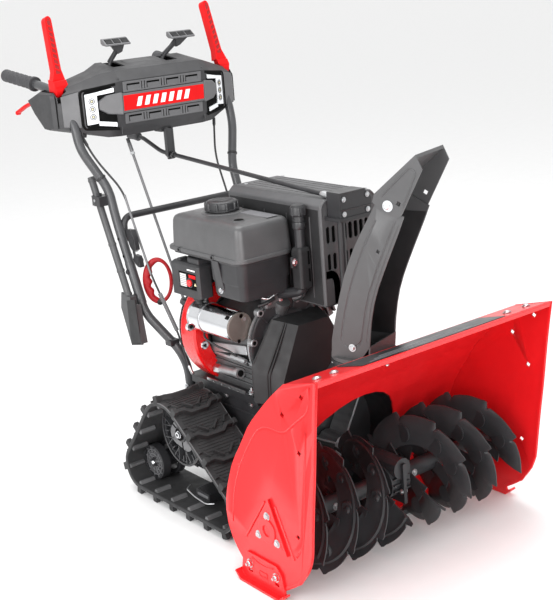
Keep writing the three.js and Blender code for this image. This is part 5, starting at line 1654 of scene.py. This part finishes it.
def console():
    body = soft(cad("console"), 4.0, 3)
    parts = [(body, PLASTIC)]
    parts += pocket_row(1079, 1107)
    parts += pocket_row(994, 1022)
    band = soft(decal(rectangle(-132, 132, 1030, 1071), 0, 7.5), 1.0)
    shelf = soft(decal(rectangle(-PANEL_HALF, PANEL_HALF, 1024, 1077), -1, 6.2), 1.6)
    parts += [(shelf, CONSOLE_GREY), (band, RED_PLASTIC)]
    for i in range(7):
        x = -84 + 26 * i
        stripe = [(x - 9, 1038), (x + 5, 1038), (x + 13, 1063), (x - 1, 1063)]
        parts.append((decal(stripe, 7.2, 7.9), LABEL_WHITE))
    for side in (-1, 1):
        nose = [
            (side * (PANEL_HALF - 1), 1020), (side * 174, 1026), (side * 194, 1040), (side * 194, 1062),
            (side * 174, 1076), (side * (PANEL_HALF - 1), 1081)
        ]
        parts.append((soft(decal(nose, -2, 9), 3, 3), CONSOLE_GREY))
        edge = [(side * x, z) for x, z in ((230, 1094), (236, 1084), (236, 1000), (230, 990))]
        outer = [
            decal([a, b, (b[0] * 0.975, b[1]), (a[0] * 0.975, a[1])], -1, 3.5)
            for a, b in zip(edge, edge[1:])
        ]
        parts += coated(PLASTIC, outer)
        facet = [(side * x, z) for x, z in ((240, 1092), (283, 1083), (283, 1002), (240, 996))]
        parts.append((soft(decal(facet, -0.6, 1.2), 0.8, 1), CONSOLE_GREY))
        wing = [
            (side * 287, 384, 1003), (side * 287, 386, 1083), (side * 299, 399.5, 1077),
            (side * 299, 399.5, 1004)
        ]
        shift = Vector((side * 0.9, -0.9, 0))
        parts.append((loft([wing, [Vector(p) + shift for p in wing]]), CONSOLE_GREY))
        # Near-black recess and rim round the headlight: painted shade.
        recess = [
            (side * x, z)
            for x, z in ((150, 1100), (229, 1090), (232, 1084), (232, 1002), (229, 994), (150, 986))
        ]
        parts.append((decal(recess, -2, 0.7), PAINTED_SHADE_AND_SEAMS))
        rim = [
            Vector((side * x, face_y(x, z) - 1.5, z))
            for x, z in ((147, 1103), (232, 1093), (236, 1085), (236, 1001), (232, 991), (147, 983))
        ]
        parts.append((pipe(3.6, rim, 6, sides=10), PAINTED_SHADE_AND_SEAMS))
        parts.append((pipe(2.2, [(side * 138, 312, 1118), (side * 138, 318, 966)], sides=10), PLASTIC))
        seam = [
            (side * 294, 384, 1000), (side * 294, 384, 1078), (side * 290, 396, 1094),
            (side * 290, 470, 1095)
        ]
        parts.append((pipe(1.4, seam, 8, sides=8), PAINTED_SHADE_AND_SEAMS))
    for x, y in ((-236, 366), (206, 372), (-226, 372)):
        parts.append((turned([(0, 6), (0.7, 6), (1, 4.5)], (x, y, 985), (x, y - 2, 966.5), 20), CABLE))
    top_plate = soft(prism("x", [(352, 1136.5), (420, 1153), (420, 1156), (352, 1139.5)], -60, 24), 1.2)
    parts.append((top_plate, SMOOTH_PLASTIC))
    badge = prism("x", [(360, 1139.2), (408, 1150.8), (408, 1151.6), (360, 1140)], -50, 14)
    parts.append((badge, LABEL))
    low = corners("console")[0]
    half = Vector((0, 5.5, 0))
    parts.append((soft(ring(13, 7.8, CRANK_EYE - half, CRANK_EYE + half, 36), 1), SMOOTH_PLASTIC))
    parts.append((soft(box((2, 320, low.z + 18), (6, 332, 962)), 1), SMOOTH_PLASTIC))
    parts.append((soft(box((24, 320, low.z + 18), (28, 332, 962)), 1), SMOOTH_PLASTIC))
    return parts


def headlight():
    parts = []
    bars = [
        [(197, 1004), (226, 1001), (226, 1083), (197, 1087)],
        [(154, 1083), (197, 1078), (197, 1087), (154, 1095)],
        [(154, 990), (197, 997), (197, 1009), (154, 1002)]
    ]
    for outline in bars:
        parts.append((soft(decal(outline, -0.4, 4.6), 1.0), LENS))
    for z in (1022, 1043, 1064):
        centre = Vector((211, face_y(211, z) - 4.4, z))
        out = Vector((0.41, -0.91, 0))
        parts.append((ring(8.8, 6.4, centre, centre + out * 1.0, 32), HUB_GREY))
        parts.append((ring(4.6, 2.6, centre, centre + out * 1.3, 24), PLASTIC))
        parts.append((turned([(0, 2.6), (0.6, 2.4), (1, 1.4)], centre, centre + out * 1.6, 20), LED))
    return parts


def chute_crank():
    front = (26, -361, 834.8)
    rear = (14, 370, 891)
    rod_line = [front, CRANK_EYE, rear, (15, 466, 924), (15, 494, 926)]
    rod = pipe(5.9, rod_line, 22, sides=20, arc=7)
    joint = turned([(0, 7), (0.1, 9), (0.75, 9), (1, 6.4)], (26, -358, 835), (25.2, -316, 838), 24)
    collar = [
        turned([(0, 8), (0.2, 9.6), (0.8, 9.6), (1, 8)], (15, y, z), (15, y + 9, z + 0.7), 24)
        for y, z in ((334, 888.6), (306, 886.4))
    ]
    handle = turned(
        [(0, 9), (0.06, 12.5), (0.5, 11), (0.94, 12.8), (1, 9)], (15, 487, 925.6), (15, 539, 929), 36
    )
    return [(rod, BLACK_COAT), (joint, ZINC), *coated(CABLE, collar), (handle, GRIP)]


both("headlight", *headlight())
piece("console", *console())
piece("chute_crank", *chute_crank())


# ------------------------------------------------------------------ levers and triggers
def bail_lever():
    """A tapering blade with a rounded tip, a wide foot, side rails and slanted ribs."""
    foot, tip = Vector((267, 410, 1128)), Vector((258.2, 449, 1282))
    along = (tip - foot).normalized()
    back = along.cross(Vector((1, 0, 0))).normalized()
    if back.y < 0:
        back = -back
    length = (tip - foot).length

    def outline(depth):
        points = [foot + Vector((-17.5, 0, 0)) - along * 6, foot + Vector((20.5, 0, 0)) - along * 6]
        points += [foot + Vector((11.2, 0, 0)) + along * 22, tip + Vector((9.6, 0, 0)) - along * 4]
        for k in range(1, 8):
            a = pi * k / 8
            points.append(tip - along * 4 + Vector((9.6, 0, 0)) * cos(a) + along * 13.5 * sin(a))
        points += [tip + Vector((-9.6, 0, 0)) - along * 4, foot + Vector((-11, 0, 0)) + along * 22]
        return [p + back * depth for p in points]

    blade = soft(loft([outline(-13), outline(14)]), 3.2, 4)
    hub = soft(bar(21.6, (266, 406, 1100), (287, 406, 1100), 48), 2)
    neck = [(265.6, 386, 1096), (287, 386, 1096), (287, 427, 1096), (265.6, 427, 1096)]
    skirt = [(249, 385, 1113), (288.5, 385, 1109), (288.5, 424, 1109), (257, 420, 1116)]
    top = [(250.5, 392, 1126), (287.5, 392, 1124), (287.5, 426, 1128), (253, 424, 1130)]
    stem = soft(loft([neck, skirt, top]), 1.6, 2)
    parts = [(blade, RED_PLASTIC), (hub, RED_PLASTIC), (stem, RED_PLASTIC)]
    front = -back * 13.2
    panel_low, panel_high = foot + along * 12 + front, tip - along * 4 + front
    sides = Vector((6.6, 0, 0))
    panel = [panel_low - sides, panel_low + sides, panel_high + sides * 0.85, panel_high - sides * 0.85]
    # Darker red panel behind the ribs: painted shade between them.
    parts.append((loft([panel, [p - back * 0.35 for p in panel]]), RED_PAINTED_SHADE))
    for side in (-1, 1):
        start = foot + along * 18 + Vector((side * 7.6, 0, 0)) + front
        end = tip - along * 8 + Vector((side * 6.4, 0, 0)) + front
        parts.append((pipe(1.6, [start, end], sides=10), RED_PLASTIC))
    for i in range(9):
        at = foot + along * (22 + i * (length - 34) / 8.5) + front
        rib = [at + Vector((-6, 0, 0)) - along * 3.5, at + Vector((6, 0, 0)) + along * 3.5]
        parts.append((pipe(2.2, rib, sides=10), RED_PLASTIC))
    # Darker red disc at the tip: painted shade.
    parts.append((bar(3, tip + front * 0.9, tip + front * 1.04, 20), RED_PAINTED_SHADE))
    return parts


def trigger():
    route = rounded([(259, 507, 1060), (259, 560, 1061), (259, 622, 1048.5), (259, 688, 1024)], 70, 12)
    section = [(-7, -3.4), (-4.6, -4.9), (4.6, -4.9), (7, -3.4), (7, 2.6), (4.6, 4.6), (-4.6, 4.6), (-7, 2.6)]
    blade = soft(swept(section, route), 1.2)
    lip = turned([(0, 4), (0.15, 6.2), (0.85, 6.2), (1, 4)], (251.8, 689, 1022.5), (266.2, 689, 1022.5), 24)
    hub = soft(bar(7.9, (251.2, 512, 1060), (266.8, 512, 1060), 32), 0.8)
    return [(blade, RED_PLASTIC), (lip, RED_PLASTIC), (hub, RED_PLASTIC)]


def control_lever(name, base, top, paddle):
    """A bent stalk with a wedge under a broad paddle."""
    tip = Vector(top)
    pivot_at = Vector((base[0], base[1], 1085))
    stalk = [
        soft(bar(7.9, pivot_at - Vector((9, 0, 0)), pivot_at + Vector((9, 0, 0)), 28), 0.8),
        pipe(4.8, [pivot_at, base, top], 8, sides=16)
    ]
    flat = swept(
        [(-6.5, -3), (6.5, -3), (6.5, 3), (-6.5, 3)],
        [Vector(base) + Vector((0, 0, 4)), tip - Vector((0, 0, 8))]
    )
    wedge = [
        (tip.x - 7, tip.z - 27), (tip.x + 7, tip.z - 22), (paddle + 26, tip.z + 1), (paddle - 20, tip.z + 1)
    ]
    wedge = prism("y", wedge, tip.y - 6, tip.y + 6)
    turn = Matrix.Rotation(0.12, 4, "X")
    middle = Matrix.Translation((paddle, tip.y, tip.z + 7)) @ turn
    slope = Vector((0, 21.6, 13)).normalized()
    face = Vector((0, -slope.z, slope.y))
    corner = Vector((0, -15.6, -4.4))
    profile = [(-15.6, -8.8), (-15.6, -4.4), (6, 8.6), (15.6, 8.6), (15.6, -4), (6, -8.8)]
    slab = soft(prism("x", profile, -40, 40), 2.4, 3)
    slab.transform(middle)
    parts = [
        (joined(*stalk), BLACK_COAT), (soft(flat, 1), BLACK_COAT), (soft(wedge, 1.5), SMOOTH_PLASTIC),
        (slab, HUB_GREY)
    ]

    def on_slope(x0, x1, s0, s1, out):
        """A pad on the paddle's sloping face, from s0 to s1 up the slope."""
        base = [
            corner + slope * s - face * 0.5 + Vector((x, 0, 0))
            for x, s in ((x0, s0), (x1, s0), (x1, s1), (x0, s1))
        ]
        pad = loft([base, [p + face * (out + 0.5) for p in base]])
        pad.transform(middle)
        return pad

    for i in range(3):
        x = -25 + 25 * i
        # Near-black pad under each row of ribs: painted shade between them.
        parts.append((on_slope(x - 11, x + 11, 3.5, 23, 0.35), PAINTED_SHADE_AND_SEAMS))
        for row in range(5):
            parts.append((on_slope(x - 9.5, x + 9.5, 5 + 3.8 * row, 6.6 + 3.8 * row, 0.9), PLASTIC))
    parts.append((bolt(pivot_at + Vector((9.2, 0, 0)), (1, 0, 0), 5, 4), ZINC))
    piece(name, *parts)


both("bail_lever", *bail_lever())
both("steering_trigger", *trigger())
control_lever("speed_lever", (-107, 402, 1150), (-72, 400, 1202), -80)
control_lever("deflector_lever", (66, 400, 1150), (122, 400, 1202), 136)


# ------------------------------------------------------------------ rods, cables and fittings
def shift_rod():
    route = [(-80, 390, 936), (-72, 160, 424), (-72, 150, 392)]
    rod = pipe(3.9, route, 12, sides=16)
    top = Vector(route[0])
    along = (Vector(route[1]) - top).normalized()
    sleeve = turned([(0, 4.2), (0.1, 5.6), (0.9, 5.6), (1, 4.2)], top + along * 6, top + along * 34, 20)
    nut = turned([(0, 6.2), (1, 6.2)], top + along * 35, top + along * 42, 6)
    low = Vector(route[1])
    loop = pipe(5.2, [top - along * 6, top + along * 10], sides=14)
    buckle = turned([(0, 4.2), (0.05, 6.4), (0.95, 6.4), (1, 4.2)], low - along * 46, low - along * 8, 24)
    return [(rod, CONDUIT), (loop, TUBE_COAT), (sleeve, CONDUIT), (nut, ZINC), (buckle, CONDUIT)]


# Each route is the CAD cable's: points listed from the console to the chassis.
DRIVE_CABLE = [
    (-236, 364, 966), (-226, 326, 910), (-184, 270, 822), (-181, 246, 752), (-179, 180, 600),
    (-151, 118, 440), (-146, 88, 350), (-141, 80, 327)
]
AUGER_CABLE = [
    (206, 372, 962), (170, 330, 860), (176, 290, 740), (170, 190, 520), (128, 150, 400), (116, 140, 334)
]


def cable(name, route, bend, sleeve_from, sleeve_to):
    """A sheath with ferrules at its ends and a thicker spring conduit along part of it."""
    line = rounded(route, bend, 8)
    parts = [(pipe(2.9, line, sides=14), CABLE)]
    first, second = Vector(route[0]), Vector(route[1])
    ferrule = [(0, 4), (0.1, 4.6), (0.8, 4.6), (1, 3.2)]
    for near, far, colour in ((first, second, SMOOTH_PLASTIC), (Vector(route[-1]), Vector(route[-2]), ZINC)):
        along = (far - near).normalized()
        parts.append((turned(ferrule, near + along * 0.3, near + along * 26, 18), colour))
    a, b = Vector(route[sleeve_from]), Vector(route[sleeve_to])
    start, end = a.lerp(b, 0.32), a.lerp(b, 0.96)
    steps = 48
    coils = [(i / steps, 6.2 if i % 2 else 5.2) for i in range(steps + 1)]
    parts.append((turned(coils, start, end, 16), CONDUIT))
    wire = rounded(route[2:sleeve_to], bend, 8)
    parts.append((pipe(3.15, [wire[0].lerp(wire[1], 0.3)] + wire[1:], sides=14), CONDUIT))
    piece(name, *parts)


def pull_handle():
    frame_turn = Matrix.Translation((-152, 192, 575)) @ Matrix.Rotation(radians(-32), 4, "Z")
    steps, sides = 120, 14
    rings = []
    for i in range(steps):
        a = 2 * pi * i / steps
        inner_x, inner_z = 5 + 25.5 * cos(a), 52 * sin(a)
        outer_x, outer_z = 41.6 * cos(a), 65.6 * sin(a)
        hand = max(0.0, -cos(a))
        groove = -0.30 * hand * (0.5 + 0.5 * cos(inner_z / 52 * pi * 4))
        inner = Vector((inner_x, 0, inner_z)).lerp(Vector((outer_x, 0, outer_z)), 0.02 + groove)
        outer = Vector((outer_x, 0, outer_z))
        middle, reach = (inner + outer) / 2, (outer - inner) / 2
        rings.append(
            [
                middle + reach * cos(t) + Vector((0, 7.8, 0)) * sin(t)
                for t in [2 * pi * k / sides for k in range(sides)]
            ]
        )
    loop = loft(rings, closed=True)
    spool = turned([(0, 5), (0.2, 8), (0.8, 8), (1, 4)], (0, -4, -57), (0, -13.5, -60), 24)
    for mesh in (loop, spool):
        mesh.transform(frame_turn)
    return [(loop, RED_HANDLE), (spool, CABLE)]


def pull_hook():
    """Two winged knobs on studs in the handlebar; the pull handle hangs on the lower one."""
    upper = [(245, 722), (222, 723), (209, 702), (204, 670), (219, 661), (234, 676), (245, 700)]
    lower = [(218, 655), (198, 653), (193, 636), (191, 623), (203, 623), (214, 629), (225, 641)]
    parts = []
    for outline, hub in ((upper, (222, 694)), (lower, (206, 640))):
        wing = carved(
            prism("x", outline, -203.5, -190),
            bar(3.4, (-196, hub[0] + 3, hub[1] - 12), (-186, hub[0] + 3, hub[1] - 12), 16)
        )
        parts.append((soft(wing, 3, 3), SMOOTH_PLASTIC))
        cone = turned([(0, 11), (0.5, 10), (1, 7)], (-204.6, *hub), (-186, *hub), 28)
        parts += [(cone, SMOOTH_PLASTIC), (bar(4, (-186.5, *hub), (-185.3, *hub), 6), ZINC)]
    strap = prism("x", [(212, 668), (222, 664), (214, 634), (204, 638)], -204.5, -201.5)
    return parts + [(soft(strap, 0.8, 1), BLACK_COAT)]


TOOL_TOP, TOOL_NECK = Vector((-232, 352, 860)), Vector((-232, 214, 530))


def clean_out_tool():
    body = soft(cad("clean_out_tool"), 1.6)
    parts = [(body, TOOL_COAT)]
    for share in (0.015, 0.53, 0.74, 0.93):
        a = TOOL_TOP.lerp(TOOL_NECK, share)
        b = TOOL_TOP.lerp(TOOL_NECK, share + 0.022)
        parts.append((turned([(0, 10.2), (0.2, 11.2), (0.8, 11.2), (1, 10.2)], a, b, 28), TOOL_COAT))
    front = [(178, 528), (162, 422), (165.5, 421), (181.5, 528)]
    parts.append((soft(prism("x", front, -243, -222), 0.8), TOOL_COAT))
    lower = [(162, 422), (213, 410), (213, 413.5), (163, 425.5)]
    parts.append((soft(prism("x", lower, -243, -222), 0.8), TOOL_COAT))
    # Darker sheet on the hollow side: painted shade in the hollow.
    hollow = prism("x", [(214, 536), (171, 546), (163, 425), (214, 411)], -243.8, -241)
    return parts + [(hollow, COVER_DARK)]


def tool_clip():
    clip = soft(cad("tool_clip"), 1.6)
    low, high = corners("tool_clip")
    eye = Vector((low.x + 1, (low.y + high.y) / 2, (low.z + high.z) / 2))
    return [(clip, SMOOTH_PLASTIC), (bolt(eye, (-1, 0, 0), 4, 0.9, 1.0), ZINC)]


def chute_gear_case():
    body = soft(cad("chute_gear_case"), 4, 3)
    low, high = corners("chute_gear_case")
    lid = soft(box((20, low.y + 2, high.z - 3), (98, high.y - 6, high.z - 0.2)), 1.2)
    screws = [bolt((x, -396, z), (0, -1, 0), 5, 3, 1.3) for x in (26, 102) for z in (796, 832)]
    seam = pipe(1.6, [(14, -395.6, 806), (116, -395.6, 806)], sides=8)
    return [(body, SMOOTH_PLASTIC), (lid, SMOOTH_PLASTIC), *coated(ZINC, screws), (seam, SMOOTH_PLASTIC)]


piece("shift_rod", *shift_rod())
cable("drive_cable", DRIVE_CABLE, 40, 4, 5)
cable("auger_cable", AUGER_CABLE, 40, 3, 4)
piece("pull_handle", *pull_handle())
piece("pull_hook", *pull_hook())
piece("clean_out_tool", *clean_out_tool())
piece("tool_clip", *tool_clip())
piece("chute_gear_case", *chute_gear_case())


# ------------------------------------------------------------------ stage
def area_light(name, place, target, size, power, colour=(1, 1, 1)):
    lamp = bpy.data.lights.new(name, "AREA")
    lamp.shape = "RECTANGLE"
    lamp.size, lamp.size_y = size
    lamp.energy = power
    lamp.color = colour
    thing = bpy.data.objects.new(name, lamp)
    thing.location = place
    thing.rotation_euler = (Vector(target) - Vector(place)).to_track_quat("-Z", "Y").to_euler()
    scene.collection.objects.link(thing)


FLOOR_HALF, FLOOR_Z = 80, -0.001


def make_stage():
    corner_points = [
        (x * FLOOR_HALF, y * FLOOR_HALF, FLOOR_Z) for x, y in ((-1, -1), (1, -1), (1, 1), (-1, 1))
    ]
    floor = bpy.data.objects.new("floor", from_faces(corner_points, [(0, 1, 2, 3)]))
    pale = finish("pale_floor", (0.86, 0.86, 0.86), 0.6, grain=4, bump=0.01, mottle=0.01)
    floor.data.materials.append(pale)
    scene.collection.objects.link(floor)
    world = bpy.data.worlds.new("studio")
    world.use_nodes = True
    world.node_tree.nodes["Background"].inputs["Color"].default_value = (1, 1, 1, 1)
    world.node_tree.nodes["Background"].inputs["Strength"].default_value = 1.0
    scene.world = world
    area_light("left_window", (-3.6, -1.2, 1.8), (0, 0, 0.5), (2.6, 2.4), 105)
    area_light("front_fill", (-1.5, -4.2, 1.2), (0, -0.2, 0.35), (2.6, 1.6), 95)
    area_light("overhead", (0.2, 0.2, 3.6), (0, 0, 0.4), (2.6, 2.6), 80)


make_camera()
make_stage()
